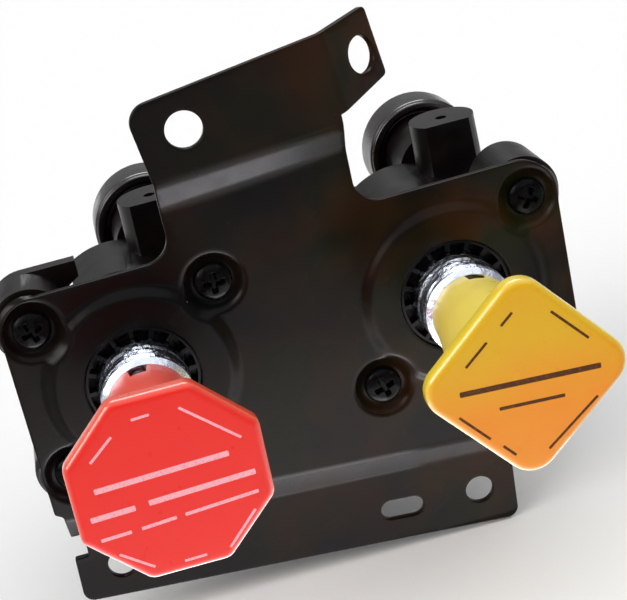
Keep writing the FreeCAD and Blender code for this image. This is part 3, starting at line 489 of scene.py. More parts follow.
@dataclass(frozen=True)
class Finish:
    """A finish: the name of its material and of the record's slot that it belongs to."""

    name: str
    slot: str

    def material(self) -> bpy.types.Material:
        """Builds the material once and gives it back on every later call.

        Returns:
            The material.
        """
        found = bpy.data.materials.get(self.name)
        if found:
            return found
        made = bpy.data.materials.new(self.name)
        made.use_nodes = True
        tree = made.node_tree
        tree.nodes.clear()
        place = add_node(tree, "ShaderNodeTexCoord").outputs["Object"]
        shader = self.shader(tree, place)
        add_node(tree, "ShaderNodeOutputMaterial", links={"Surface": shader.outputs[0]})
        return made

    def shader(self, tree: bpy.types.NodeTree, place: bpy.types.NodeSocket) -> bpy.types.Node:
        """Builds the surface's shader; each finish has its own.

        Args:
            tree: node tree of the material.
            place: socket that gives the place in object space.

        Returns:
            The shader node.
        """
        raise NotImplementedError

    def dress(self, piece: bpy.types.Object) -> bpy.types.Object:
        """Gives the material to a piece.

        Args:
            piece: object that gets the finish.

        Returns:
            The same object.
        """
        piece.data.materials.clear()
        piece.data.materials.append(self.material())
        return piece


@dataclass(frozen=True)
class StovedEnamel(Finish):
    """Black stoving enamel on pressed steel: glossy, with faint orange peel, dust, and amber and olive patches
    that are a painted reflection of warm surroundings.
    """

    peel_mm: float = 1.6
    reflection_patch_mm: float = 26.0
    reflection_from_mm: float = -35.0
    reflection_to_mm: float = 62.0

    def shader(self, tree: bpy.types.NodeTree, place: bpy.types.NodeSocket) -> bpy.types.Node:
        """Cool black with a painted amber and olive reflection that grows towards the right, under dust specks
        and orange peel.

        Args:
            tree: node tree of the material.
            place: socket that gives the place in object space.

        Returns:
            The shader node.
        """
        # Painted reflection: amber and olive patches, stronger towards the right, mixed into the base colour.
        across = add_node(tree, "ShaderNodeSeparateXYZ", links={"Vector": place}).outputs["X"]
        side = between(tree, across, self.reflection_from_mm * MM, self.reflection_to_mm * MM, 0.06, 0.85)
        reflection_patch = between(tree, noise(tree, place, self.reflection_patch_mm, 2.0), 0.36, 0.66)
        painted_reflection_share = add_node(tree, "ShaderNodeMath", {"operation": "MULTIPLY"}, {0: side, 1: reflection_patch})
        reflection_tints = [(0.40, "#3a2108"), (0.50, "#33240c"), (0.60, "#1d200a")]
        reflection_tint = ramp(tree, noise(tree, place, 17.0, 1.0), reflection_tints)
        cool = ramp(tree, noise(tree, place, 31.0, 1.0), [(0.35, "#0b0a0b"), (0.65, "#0f0a09")])
        colour = mixed(tree, painted_reflection_share.outputs[0], cool, reflection_tint)
        colour = mixed(tree, specks(tree, place, 6.5, 0.20, 0.36), colour, "#7d766e")
        colour = mixed(tree, specks(tree, place, 3.1, 0.10, 0.26), colour, "#57514c")
        rough = between(tree, noise(tree, place, 14.0, 3.0, 0.6), 0.35, 0.7, 0.20, 0.31)
        peel = noise(tree, place, self.peel_mm, 2.0)
        bump = add_node(tree, "ShaderNodeBump", {"Strength": 0.10, "Distance": 0.05 * MM}, {"Height": peel})
        return add_node(tree, "ShaderNodeBsdfPrincipled", {"IOR": 1.5, "Specular IOR Level": 0.08},
                        {"Base Color": colour, "Roughness": rough, "Normal": bump.outputs["Normal"]})


@dataclass(frozen=True)
class GlassFilledNylon(Finish):
    """Black glass-filled nylon, moulded: satin gloss with a faint pebble from the tool."""

    rough: float = 0.34
    dark: str = "#060505"
    warm: str = "#140c08"
    shine: float = 0.18

    def shader(self, tree: bpy.types.NodeTree, place: bpy.types.NodeSocket) -> bpy.types.Node:
        """Black colour with a warm cast, uneven gloss and fine pebble bump.

        Args:
            tree: node tree of the material.
            place: socket that gives the place in object space.

        Returns:
            The shader node.
        """
        colour = ramp(tree, noise(tree, place, 22.0, 2.0), [(0.35, self.dark), (0.7, self.warm)])
        dust = specks(tree, place, 5.0, 0.16, 0.3)
        colour = mixed(tree, dust, colour, "#3f3a35")
        rough = between(tree, noise(tree, place, 6.0, 3.0), 0.3, 0.7, self.rough - 0.06, self.rough + 0.10)
        pebble = noise(tree, place, 0.5, 2.0)
        bump = add_node(tree, "ShaderNodeBump", {"Strength": 0.12, "Distance": 0.03 * MM}, {"Height": pebble})
        return add_node(tree, "ShaderNodeBsdfPrincipled", {"IOR": 1.53, "Specular IOR Level": self.shine},
                        {"Base Color": colour, "Roughness": rough, "Normal": bump.outputs["Normal"]})


@dataclass(frozen=True)
class MouldedAcetal(Finish):
    """Moulded coloured acetal, slightly see-through: satin face of deep colour, glossy rim with a painted
    highlight, and a stem made paler by painted light.
    """

    face: float = -58.0
    low: str = "#ef3a30"
    high: str = "#ef3a30"
    # The rim and stem colours are paler than the face: a painted highlight on the rim and painted light on the
    # stem.
    rim: str = "#f26b54"
    lit_stem: str = "#ef7d70"
    low_z: float = -8.0
    high_z: float = 10.0
    rough: float = 0.32

    def shader(self, tree: bpy.types.NodeTree, place: bpy.types.NodeSocket) -> bpy.types.Node:
        """Face colour that drifts up the knob, then the rim's painted highlight and the stem's painted light,
        paler colours set by depth behind the face.

        Args:
            tree: node tree of the material.
            place: socket that gives the place in object space.

        Returns:
            The shader node.
        """
        axes = add_node(tree, "ShaderNodeSeparateXYZ", links={"Vector": place}).outputs
        share = between(tree, axes["Z"], self.low_z * MM, self.high_z * MM)
        cloud = between(tree, noise(tree, place, 9.0, 2.0), 0.3, 0.7, -0.12, 0.12)
        drift = add_node(tree, "ShaderNodeMath", {"operation": "ADD", "use_clamp": True},
                         {0: share, 1: cloud})
        colour = ramp(tree, drift.outputs[0], [(0.0, self.low), (1.0, self.high)])
        # Painted highlight: the rim turns paler just behind the face.
        rim_highlight_mask = between(tree, axes["Y"], (self.face + 0.1) * MM, (self.face + 1.0) * MM)
        colour = mixed(tree, rim_highlight_mask, colour, self.rim)
        # Painted light: the stem behind the rim is paler.
        stem_light_mask = between(tree, axes["Y"], (self.face + 3.8) * MM, (self.face + 9.0) * MM)
        colour = mixed(tree, stem_light_mask, colour, self.lit_stem)
        edge = between(tree, axes["Y"], (self.face + 0.05) * MM, (self.face + 0.5) * MM, 0.0, 0.8)
        head = between(tree, axes["Y"], (self.face + 3.5) * MM, (self.face + 5.0) * MM, 1.0, 0.0)
        gloss = add_node(tree, "ShaderNodeMath", {"operation": "MULTIPLY"}, {0: edge, 1: head}).outputs[0]
        rough = between(tree, noise(tree, place, 4.0, 3.0), 0.3, 0.7, self.rough - 0.05, self.rough + 0.07)
        skin = noise(tree, place, 1.4, 2.0)
        bump = add_node(tree, "ShaderNodeBump", {"Strength": 0.10, "Distance": 0.03 * MM}, {"Height": skin})
        return add_node(tree, "ShaderNodeBsdfPrincipled",
                        {"IOR": 1.48, "Specular IOR Level": 0.25, "Subsurface Weight": 0.08,
                         "Subsurface Scale": 1.2 * MM, "Subsurface Radius": (1.0, 0.35, 0.15),
                         "Coat Roughness": 0.13},
                        {"Base Color": colour, "Coat Weight": gloss, "Roughness": rough,
                         "Normal": bump.outputs["Normal"]})


@dataclass(frozen=True)
class PadPrint(Finish):
    """Pad-printed ink on a knob: flat, a little rough, with thin spots."""

    ink: str = "#f4a7b2"
    thin: str = "#ee7f86"
    rough: float = 0.5
    shine: float = 0.12

    def shader(self, tree: bpy.types.NodeTree, place: bpy.types.NodeSocket) -> bpy.types.Node:
        """Ink colour that thins to the plastic below in small patches.

        Args:
            tree: node tree of the material.
            place: socket that gives the place in object space.

        Returns:
            The shader node.
        """
        colour = ramp(tree, noise(tree, place, 0.5, 2.0), [(0.30, self.thin), (0.48, self.ink)])
        grain = noise(tree, place, 0.3, 1.0)
        bump = add_node(tree, "ShaderNodeBump", {"Strength": 0.08, "Distance": 0.02 * MM}, {"Height": grain})
        return add_node(tree, "ShaderNodeBsdfPrincipled",
                        {"Roughness": self.rough, "IOR": 1.5, "Specular IOR Level": self.shine},
                        {"Base Color": colour, "Normal": bump.outputs["Normal"]})


@dataclass(frozen=True)
class BrightChrome(Finish):
    """Bright chrome plate on turned steel: mirror-like, with the waviness of a polished turned part."""

    wave_mm: float = 3.2
    scratch_share: float = 0.18

    def shader(self, tree: bpy.types.NodeTree, place: bpy.types.NodeSocket) -> bpy.types.Node:
        """Mirror metal with slow waves and sparse fine scratches.

        Args:
            tree: node tree of the material.
            place: socket that gives the place in object space.

        Returns:
            The shader node.
        """
        wave = noise(tree, place, self.wave_mm, 2.0)
        scratch = noise(tree, place, 0.35, 2.0, 0.7)
        height = add_node(tree, "ShaderNodeMath", {"operation": "MULTIPLY_ADD", 1: self.scratch_share},
                          {0: scratch, 2: wave})
        bump = add_node(tree, "ShaderNodeBump", {"Strength": 1.0, "Distance": 0.55 * MM},
                        {"Height": height.outputs[0]})
        rough = between(tree, noise(tree, place, 3.0, 3.0), 0.35, 0.7, 0.05, 0.13)
        return add_node(tree, "ShaderNodeBsdfPrincipled", {"Base Color": linear("#d3d8e6"), "Metallic": 1.0},
                        {"Roughness": rough, "Normal": bump.outputs["Normal"]})


@dataclass(frozen=True)
class Metal(Finish):
    """Bare or blackened metal with turned or drawn marks."""

    colour: str = "#b9babc"
    worn: str = "#cfd0d2"
    metallic: float = 1.0
    rough: float = 0.32
    mark_mm: float = 0.5
    shine: float = 0.5

    def shader(self, tree: bpy.types.NodeTree, place: bpy.types.NodeSocket) -> bpy.types.Node:
        """Metal colour with fine marks in its gloss and height.

        Args:
            tree: node tree of the material.
            place: socket that gives the place in object space.

        Returns:
            The shader node.
        """
        marks = noise(tree, place, self.mark_mm, 3.0, 0.6)
        colour = ramp(tree, marks, [(0.4, self.colour), (0.72, self.worn)])
        rough = between(tree, noise(tree, place, 1.6, 2.0), 0.3, 0.7, self.rough - 0.08, self.rough + 0.10)
        bump = add_node(tree, "ShaderNodeBump", {"Strength": 0.16, "Distance": 0.03 * MM}, {"Height": marks})
        return add_node(tree, "ShaderNodeBsdfPrincipled",
                        {"Metallic": self.metallic, "Specular IOR Level": self.shine},
                        {"Base Color": colour, "Roughness": rough, "Normal": bump.outputs["Normal"]})


@dataclass(frozen=True)
class SoftPolymer(Finish):
    """Seal rubber, gasket sheet or white acetal: matt, with a fine even grain."""

    colour: str = "#141414"
    light: str = "#1d1c1c"
    rough: float = 0.6

    def shader(self, tree: bpy.types.NodeTree, place: bpy.types.NodeSocket) -> bpy.types.Node:
        """Even colour with fine grain.

        Args:
            tree: node tree of the material.
            place: socket that gives the place in object space.

        Returns:
            The shader node.
        """
        grain = noise(tree, place, 0.6, 2.0)
        colour = ramp(tree, grain, [(0.35, self.colour), (0.7, self.light)])
        bump = add_node(tree, "ShaderNodeBump", {"Strength": 0.15, "Distance": 0.03 * MM}, {"Height": grain})
        return add_node(tree, "ShaderNodeBsdfPrincipled", {"Roughness": self.rough, "IOR": 1.5},
                        {"Base Color": colour, "Normal": bump.outputs["Normal"]})


ENAMEL = StovedEnamel("stoved_black_enamel", "black_enamel")
NYLON = GlassFilledNylon("moulded_black_nylon", "black_nylon")
RING_NYLON = GlassFilledNylon("guide_ring_nylon", "black_nylon", 0.26, "#030303", "#070606", 0.12)
CAP_NYLON = GlassFilledNylon("port_cap_nylon", "black_nylon", 0.24, "#080605", "#1a100b", 0.55)
CHROME = BrightChrome("bright_chrome_plate", "bright_chrome")
SCREW_BLACK = Metal("black_oxide_screw", "black_screw_steel", "#050505", "#121111", 0.15, 0.20, 0.7, 0.05)
SPRING_STEEL = Metal("drawn_spring_steel", "spring_steel", "#8f9092", "#b4b5b7", 1.0, 0.30)
ALUMINIUM = Metal("turned_aluminium", "bare_aluminium", "#b4b6ba", "#d0d2d5", 1.0, 0.28)
BRASS = Metal("turned_brass", "turned_brass", "#c19a4b", "#dcbc72", 1.0, 0.26)
RUBBER = SoftPolymer("nitrile_rubber", "seal_rubber")
WHITE_ACETAL = SoftPolymer("white_acetal", "white_acetal", "#dad9d2", "#eeede7", 0.4)
# The last two colours of each knob are the rim's painted highlight and the stem's painted light.
RED_ACETAL = MouldedAcetal("red_acetal", "red_plastic", -58.9, "#ea2218", "#ea241a", "#f05a42", "#ee5a4a")
YELLOW_ACETAL = MouldedAcetal("yellow_acetal", "yellow_plastic", -57.3, "#e98a12", "#dba80e", "#efd040",
                              "#f0d862")
PINK_INK = PadPrint("pale_pink_ink", "red_plastic", "#f8b0ba", "#f28d93")
BROWN_INK = PadPrint("dark_brown_ink", "yellow_plastic", "#4a2608", "#6b3c10")


# Mounting plate


@dataclass
class MountingPlate:
    """Bent sheet with raised pads and screw bowls, worked out as one smooth surface of thickness sheet."""

    sheet: float = 2.0
    edge_round: float = 0.35
    half_width: float = 70.0
    top: tuple[float, float] = (28.4, 0.0135)
    bottom: float = -29.6
    corner_r: float = 9.6
    neck: tuple[float, float, float] = (-25.9, 20.6, 6.2)
    step_forward: float = -4.5
    step_back: tuple[float, float] = (5.1, 2.5)
    step_reach: float = 74.0
    bends: tuple[tuple[float, float], ...] = ((-43.9, -0.070), (-37.0, -0.085), (41.8, 0.067), (48.8, 0.048))
    flange_tilt: float = 7.4
    flange_z: float = 70.25
    flange_corner_r: float = 5.0
    fold_x: float = 18.1
    fold_length: float = 19.9
    fold_angle: float = 37.0
    fold_radius: float = 4.0
    ear_length: float = 15.6
    ear_taper: float = 2.4
    low_edge: tuple[float, float] = (-63.75, -0.0887)
    low_sides: tuple[float, float] = (-69.4, 46.2)
    pad: tuple[float, float, float, float] = (24.1, 21.6, 1.8, 14.3)
    bowl: tuple[float, float, float] = (5.8, 7.7, 2.2)
    bend_softness: tuple[float, float] = (1.3, 1.5)
    pad_softness: tuple[float, float] = (0.7, 0.8)
    bowl_softness: float = 0.8
    bowl_fillet: float = 0.9
    ear_hole_share: float = 0.62
    edge_notch: tuple[float, float, float] = (4.2, -44.9, -38.3)
    screw_hole_r: float = 2.7
    flange_hole_r: float = 4.5
    low_hole_r: float = 3.7
    screw_offset: tuple[float, float] = (22.4, 19.4)
    plungers: tuple[float, float] = (-40.0, 40.0)
    low_holes: tuple[tuple[float, float], ...] = ((-57.6, -49.7), (37.1, -57.1))
    top_hole: tuple[float, float] = (-15.9, 58.9)
    slot: tuple[float, float, float, float] = (16.1, -56.2, 11.5, 5.5)

    def screw_places(self) -> list[tuple[float, float]]:
        """Centres of the six screws, as (x, z).

        Returns:
            Six pairs of X and Z.
        """
        dx, dz = self.screw_offset
        left, right = self.plungers
        outer_and_inner = [(left - dx, dz), (left + dx, dz), (right + dx, dz)]
        return outer_and_inner + [(-x, -z) for x, z in outer_and_inner]

    def flange_line(self, x: float) -> float:
        """Height of the upper flange's top edge at x.

        Args:
            x: X in millimetres.

        Returns:
            Z of the edge.
        """
        return self.flange_z + math.tan(math.radians(self.flange_tilt)) * x

    def fold_frame(self) -> tuple[np.ndarray, np.ndarray, np.ndarray]:
        """Lower end of the fold line, the direction across it, and the direction up along it.

        Returns:
            The three vectors, each as (x, z).
        """
        tilt = math.radians(self.flange_tilt)
        across = np.array([math.cos(tilt), math.sin(tilt)])
        along = np.array([-math.sin(tilt), math.cos(tilt)])
        top = np.array([self.fold_x, self.flange_line(self.fold_x)])
        return top - along * self.fold_length, across, along

    def outline(self) -> np.ndarray:
        """Outline of the flat pattern, anticlockwise, with the ear laid out flat.

        Returns:
            Points of the outline.
        """
        start, across, along = self.fold_frame()
        arc = self.fold_radius * math.radians(self.fold_angle)
        reach = arc + self.ear_length
        tip_low = start + across * reach + along * self.ear_taper
        tip_high = start + across * reach + along * self.fold_length
        left, right, fillet = self.neck
        slope = math.tan(math.radians(self.flange_tilt))
        height, rise = self.top
        bend = self.bends[3][0] + self.bends[3][1] * left
        left_top = left - slope * (self.flange_line(left) - bend)
        edge, fall = self.low_edge
        low_left, low_right = self.low_sides
        hw = self.half_width
        notch_width, notch_low, notch_high = self.edge_notch
        corners = [
            (-hw, height - rise * hw, self.corner_r), (left, height + rise * left, fillet), (left, bend, 0.0),
            (left_top, self.flange_line(left_top), self.flange_corner_r),
            (tip_high[0], tip_high[1], 1.3), (tip_low[0], tip_low[1], 1.3), (start[0], start[1], 0.0),
            (right, height + rise * right, fillet), (hw, height + rise * hw, self.corner_r),
            (hw, self.bottom, self.corner_r), (48.0, self.bottom - 1.0, 3.0),
            (low_right, edge + fall * low_right, 3.0), (low_left, edge + fall * low_left, 3.0),
            (low_left + 0.6, notch_low, 0.5), (low_left + notch_width, notch_low, 0.5),
            (low_left + notch_width + 0.2, notch_high, 0.5),
            (-hw + 1.9, notch_high, 0.45), (-hw + 1.9, self.bottom - 0.6, 1.2), (-hw, self.bottom + 0.6, 0.9),
        ]
        return spaced(round_corners(corners)[::-1], 1.0)

    def holes(self) -> list[np.ndarray]:
        """Outlines of all the holes, clockwise.

        Returns:
            A loop of points for each hole.
        """
        start, across, along = self.fold_frame()
        arc = self.fold_radius * math.radians(self.fold_angle)
        ear = start + across * (arc + self.ear_hole_share * self.ear_length) + along * (self.fold_length / 2)
        circles = [(x, z, self.screw_hole_r, 24) for x, z in self.screw_places()]
        circles += [(x, 0.0, self.pad[3], 144) for x in self.plungers]
        circles += [(x, z, self.low_hole_r, 56) for x, z in self.low_holes]
        circles += [(*self.top_hole, self.flange_hole_r, 64), (ear[0], ear[1], self.flange_hole_r, 64)]
        loops = [ring_points(x, z, r, count)[::-1] for x, z, r, count in circles]
        x, z, length, width = self.slot
        half, r = length / 2, width / 2
        turn = math.atan(self.low_edge[1])
        end = r - 0.01
        box = round_corners([(-half, -r, end), (half, -r, end), (half, r, end), (-half, r, end)])
        spin = np.array([[math.cos(turn), math.sin(turn)], [-math.sin(turn), math.cos(turn)]])
        loops.append(spaced((box @ spin + [x, z])[::-1], 0.8))
        return loops

    def depth(self, x: np.ndarray, z: np.ndarray) -> np.ndarray:
        """Y of the sheet's front face: two double bends, pads and bowls, each with rounded bends.

        The double bends are straight lines in z whose slope changes at four bend lines. A pad is a raised
        disc with a sloping rim, and a bowl is a sunk cone that cuts into whatever lies round it.

        Args:
            x: X of the points.
            z: Z of the points.

        Returns:
            Y of the front face at each point.
        """
        lines = [place + slope * x for place, slope in self.bends]
        share = (x + self.step_reach) / (2 * self.step_reach)
        back = self.step_back[0] + (self.step_back[1] - self.step_back[0]) * share
        low_slope = -back / (lines[1] - lines[0])
        high_slope = self.step_forward / (lines[3] - lines[2])
        low_soft, high_soft = self.bend_softness
        y = back + low_slope * (soft_ramp(z - lines[0], low_soft) - soft_ramp(z - lines[1], low_soft))
        y = y + high_slope * (soft_ramp(z - lines[2], high_soft) - soft_ramp(z - lines[3], high_soft))
        outer, inner, rise, _ = self.pad
        inner_soft, outer_soft = self.pad_softness
        for axis in self.plungers:
            r = np.hypot(x - axis, z)
            slope = rise / (outer - inner)
            y = y - rise + slope * (soft_ramp(r - inner, inner_soft) - soft_ramp(r - outer, outer_soft))
        floor, rim, sink = self.bowl
        for cx, cz in self.screw_places():
            r = np.hypot(x - cx, z - cz)
            cone = sink - sink / (rim - floor) * soft_ramp(r - floor, self.bowl_softness)
            y = soft_maximum(y, cone, self.bowl_fillet)
        return y

    def place(self, flat: np.ndarray) -> np.ndarray:
        """Front face point of each flat pattern point, with the ear rolled back round its fold.

        Args:
            flat: points of the flat pattern.

        Returns:
            The points in space.
        """
        x, z = flat[:, 0], flat[:, 1]
        body = np.stack([x, self.depth(x, z), z], 1)
        start, across, along = self.fold_frame()
        u = (flat - start) @ across
        v = (flat - start) @ along
        angle = np.clip(u / self.fold_radius, 0, math.radians(self.fold_angle))
        beyond = np.clip(u - self.fold_radius * math.radians(self.fold_angle), 0, None)
        run = self.fold_radius * np.sin(angle) + beyond * np.cos(angle)
        back = self.fold_radius * (1 - np.cos(angle)) + beyond * np.sin(angle)
        folded = start + across * run[:, None] + along * v[:, None]
        ear = np.stack([folded[:, 0], self.step_forward + back, folded[:, 1]], 1)
        return np.where(((u > 0) & (v > -1.5))[:, None], ear, body)

    def surface(self, flat: np.ndarray, depth: np.ndarray) -> np.ndarray:
        """Point at a depth below the front face, along the face's normal from central differences.

        Args:
            flat: points of the flat pattern.
            depth: how deep each point lies, in millimetres.

        Returns:
            The points in space.
        """
        h = 0.02
        across = self.place(flat + [h, 0]) - self.place(flat - [h, 0])
        upward = self.place(flat + [0, h]) - self.place(flat - [0, h])
        normal = np.cross(across, upward)
        normal /= np.linalg.norm(normal, axis=1)[:, None]
        return self.place(flat) - normal * depth[:, None]

    def scatter(self) -> np.ndarray:
        """Inner points of the flat pattern: rings round pads and bowls, rows along bends, a plain grid.

        Returns:
            Points of the flat pattern.
        """
        pad_radii = np.arange(15.0, 26.2, 0.4)
        bowl_radii = np.arange(3.4, 10.8, 0.4)
        pad_steps, bowl_steps = 180, 72
        rings = []
        for axis in self.plungers:
            rings += [ring_points(axis, 0, r, pad_steps) for r in pad_radii]
        for cx, cz in self.screw_places():
            rings += [ring_points(cx, cz, r, bowl_steps) for r in bowl_radii]
        rings = np.concatenate(rings)
        x, z = rings.T
        near_screw = np.min([np.hypot(x - cx, z - cz) for cx, cz in self.screw_places()], 0)
        on_pad = np.min([np.hypot(x - axis, z) for axis in self.plungers], 0)
        own = np.zeros(len(rings), bool)
        own[:len(self.plungers) * pad_steps * len(pad_radii)] = True
        rings = rings[(own & (near_screw > 10.9)) | (~own & (on_pad > 14.9))]
        rows = []
        for place, slope in self.bends:
            x, off = np.meshgrid(np.arange(-72, 72, 1.2), np.arange(-2.4, 2.41, 0.3))
            rows.append(np.stack([x, place + slope * x + off], -1).reshape(-1, 2))
        start, across, along = self.fold_frame()
        u, v = np.meshgrid(np.arange(-0.8, 3.6, 0.22), np.arange(0, self.fold_length, 1.0))
        fold = start + u.reshape(-1, 1) * across + v.reshape(-1, 1) * along
        x, z = np.meshgrid(np.arange(-71, 71, 1.9), np.arange(-71, 80, 1.9))
        plain = np.stack([x, z], -1).reshape(-1, 2)
        keep = np.ones(len(plain), bool)
        for axis in self.plungers:
            keep &= np.hypot(plain[:, 0] - axis, plain[:, 1]) > 26.8
        for cx, cz in self.screw_places():
            keep &= np.hypot(plain[:, 0] - cx, plain[:, 1] - cz) > 11.4
        for place, slope in self.bends:
            keep &= np.abs(plain[:, 1] - place - slope * plain[:, 0]) > 2.9
        return np.concatenate([rings] + rows + [fold, plain[keep]])

    def build(self) -> bpy.types.Object:
        """Triangulates the flat pattern once, and lays it out as front, back and rounded edge.

        Returns:
            The finished plate.
        """
        e = self.edge_round
        loops = [self.outline()] + self.holes()
        insets = [loop + inward_normals(loop) * e for loop in loops]
        inner = self.scatter()
        keep = inside(inner, insets[0])
        for loop in insets[1:]:
            keep &= ~inside(inner, loop)
        inner = inner[keep]
        rim = np.concatenate(insets)
        gap = np.full(len(inner), np.inf)
        for block in np.array_split(rim, 12):
            away = np.hypot(*(inner[:, None] - block[None]).transpose(2, 0, 1))
            gap = np.minimum(gap, np.min(away, axis=1))
        inner = inner[gap > 0.3]
        flat = np.concatenate([rim, inner])
        edges = []
        first = 0
        for loop in insets:
            numbers = first + np.arange(len(loop))
            edges += list(zip(numbers.tolist(), np.roll(numbers, -1).tolist()))
            first += len(loop)
        cdt = delaunay_2d_cdt([Vector(p) for p in flat.tolist()], edges, [], 0, 1e-5)
        flat = np.array([tuple(p) for p in cdt[0]])
        tris = np.array([f for f in cdt[2] if len(f) == 3])
        middle = flat[tris].mean(1)
        keep = inside(middle, insets[0])
        for loop in insets[1:]:
            keep &= ~inside(middle, loop)
        tris = tris[keep]
        front = self.surface(flat, np.zeros(len(flat)))
        back = self.surface(flat, np.full(len(flat), self.sheet))
        points = [front, back]
        faces = [tris, tris[:, ::-1] + len(flat)]
        first = 2 * len(flat)
        turn = np.linspace(0, math.pi / 2, 4)
        inset = np.concatenate([e * (1 - np.sin(turn)), e * (1 - np.cos(turn))])
        depth = np.concatenate([e * (1 - np.cos(turn)), self.sheet - e * (1 - np.sin(turn))])
        for loop in loops:
            normals = inward_normals(loop)
            strip = np.concatenate([self.surface(loop + normals * i, np.full(len(loop), d))
                                    for i, d in zip(inset, depth)])
            quads = grid_quads(len(inset), len(loop)) + first
            points.append(strip)
            faces += [quads[:, [0, 1, 2]], quads[:, [0, 2, 3]]]
            first += len(strip)
        plate = mesh_piece("enamelled_plate", np.concatenate(points), np.concatenate(faces), 50.0, 0.004)
        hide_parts("mounting_plate")
        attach(plate, "base")
        return ENAMEL.dress(plate)


# Knobs


@dataclass
class Knob:
    """Moulded knob: a head with rounded rims on a stem that flares into its back."""

    side: Side
    sides: int
    apothem: float
    corner_r: float
    face: float
    turn: float
    finish: Finish
    ink: Finish
    notch_deg: float
    thickness: float = 4.6
    front_round: tuple[float, float] = (1.9, 1.5)
    back_round: float = 1.1
    rim_y: float = -15.0
    rim_r: float = 10.0
    wall: float = 1.6
    hollow: float = 9.0
    bore_r: float = 6.05
    bore_floor: float = 8.0
    flare_r: float = 15.4
    neck_r: float = 12.8
    mid_r: float = 11.7
    face_insets: tuple[float, ...] = (16.0, 11.0, 7.0, 4.5, 3.2, 2.5)
    arc_points: int = 10
    side_points: int = 10
    notch: tuple[float, float] = (3.4, 1.8)
    bars: list[tuple[float, float, float, float, float]] = field(default_factory=list)

    def polygon(self, inset: float) -> np.ndarray:
        """Rounded polygon moved in by inset, with the same number of points at every inset.

        Each corner is an arc about the centre of its fillet, and each side a straight line between arcs.

        Args:
            inset: how far each side moves in.

        Returns:
            Points of the polygon.
        """
        apothem = max(self.apothem - inset, 0.0)
        radius = min(max(self.corner_r - inset, 0.25), apothem)
        reach = (apothem - radius) / math.cos(math.pi / self.sides)
        half = math.pi / self.sides
        first = math.radians(self.turn) + (half if self.sides == 8 else 0.0)
        corner = first + np.arange(self.sides)[:, None] * 2 * half
        t = corner + np.linspace(-half, half, self.arc_points)
        arc = np.stack([reach * np.sin(corner) + radius * np.sin(t),
                        reach * np.cos(corner) + radius * np.cos(t)], -1)
        following = np.roll(arc[:, 0], -1, axis=0)
        share = np.linspace(0, 1, self.side_points + 2)[1:-1, None]
        line = arc[:, -1:][:, [0] * self.side_points] * (1 - share) + following[:, None] * share
        return np.concatenate([arc, line], 1).reshape(-1, 2)

    def circle(self, radius: float) -> np.ndarray:
        """Circle whose points lie at the same angles as the polygon's.

        Args:
            radius: radius of the circle.

        Returns:
            Points of the circle.
        """
        outline = self.polygon(0.0)
        return outline / np.linalg.norm(outline, axis=1)[:, None] * radius

    def rings(self) -> list[tuple[np.ndarray, float | np.ndarray]]:
        """Rings from the middle of the face, round the rims and down the stem to the hollow's floor.

        Returns:
            Each ring's points and its Y.
        """
        grow, drop = self.front_round
        back = self.face + self.thickness
        rings = [(self.polygon(self.apothem), self.face)]
        rings += [(self.polygon(inset), self.face) for inset in self.face_insets if inset < self.apothem - 1]
        for t in np.linspace(0, math.pi / 2, 9):
            rings.append((self.polygon(grow * (1 - math.sin(t))), self.face + drop * (1 - math.cos(t))))
        for t in np.linspace(0, math.pi / 2, 6):
            inset = self.back_round * (1 - math.cos(t))
            rings.append((self.polygon(inset), back - self.back_round * (1 - math.sin(t))))
        edge = self.polygon(self.back_round + 0.6)
        for share in np.linspace(0, 1, 6):
            rings.append((edge * (1 - share) + self.circle(self.flare_r) * share, back + 0.12 * share))
        line = round_corners([
            (self.flare_r, back + 0.12, 0), (self.neck_r + 0.2, back + 0.5, 3.2), (self.neck_r, back + 8.0, 60.0),
            (self.mid_r, self.rim_y - 15.0, 60.0), (self.rim_r, self.rim_y - 0.3, 0)], False, 1.0)
        rings += [(self.circle(r), y) for r, y in line[:-1]]
        inner = self.rim_r - self.wall
        floor = self.rim_y - self.hollow
        rings.append((self.circle(self.rim_r + 0.25), self.rim_y - self.notch[1] - 0.5))
        rings += [(self.circle(r), self.notched(r, y)) for r, y in (
            (self.rim_r, self.rim_y - 0.3), (self.rim_r - 0.1, self.rim_y - 0.08),
            (self.rim_r - 0.3, self.rim_y), (inner + 0.25, self.rim_y), (inner, self.rim_y - 0.25))]
        rings += [(self.circle(r), y) for r, y in (
            (inner, self.rim_y - self.notch[1] - 0.5), (inner, floor), (self.bore_r, floor),
            (self.bore_r, self.face + self.bore_floor), (0.0, self.face + self.bore_floor))]
        return rings

    def notched(self, radius: float, y: float) -> np.ndarray:
        """Depths of a rim ring, moved forward where the keyway crosses it.

        Args:
            radius: radius of the ring.
            y: Y of the ring beside the keyway.

        Returns:
            Y of each of the ring's points.
        """
        x, z = self.circle(radius).T
        turn = math.radians(self.notch_deg)
        aside = x * math.cos(turn) - z * math.sin(turn)
        ahead = x * math.sin(turn) + z * math.cos(turn)
        width, deep = self.notch
        return np.where((np.abs(aside) < width / 2) & (ahead > 0), y - deep, y)

    def build(self) -> bpy.types.Object:
        """Makes the knob from its rings.

        Returns:
            The finished piece.
        """
        axis = self.side.axis_x
        rings = self.rings()
        layers = [np.stack([xz[:, 0] + axis, np.full(len(xz), y), xz[:, 1]], 1) for xz, y in rings]
        points = np.concatenate(layers)
        name = f"{self.side.value}_moulded_knob"
        knob = mesh_piece(name, points, grid_quads(len(rings), len(rings[0][0])), 40.0)
        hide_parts(f"{self.side.value}_knob")
        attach(knob, self.side.body)
        self.finish.dress(knob)
        return knob

    def print_marks(self) -> None:
        """Prints plain bars on the face, where the original carries words."""
        axis = self.side.axis_x
        for i, (x, z, length, width, turn) in enumerate(self.bars):
            mark = ink_bar(f"{self.side.value}_mark_{i + 1}", axis + x, self.face, z, length, width, turn)
            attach(mark, self.side.body)
            self.ink.dress(mark)


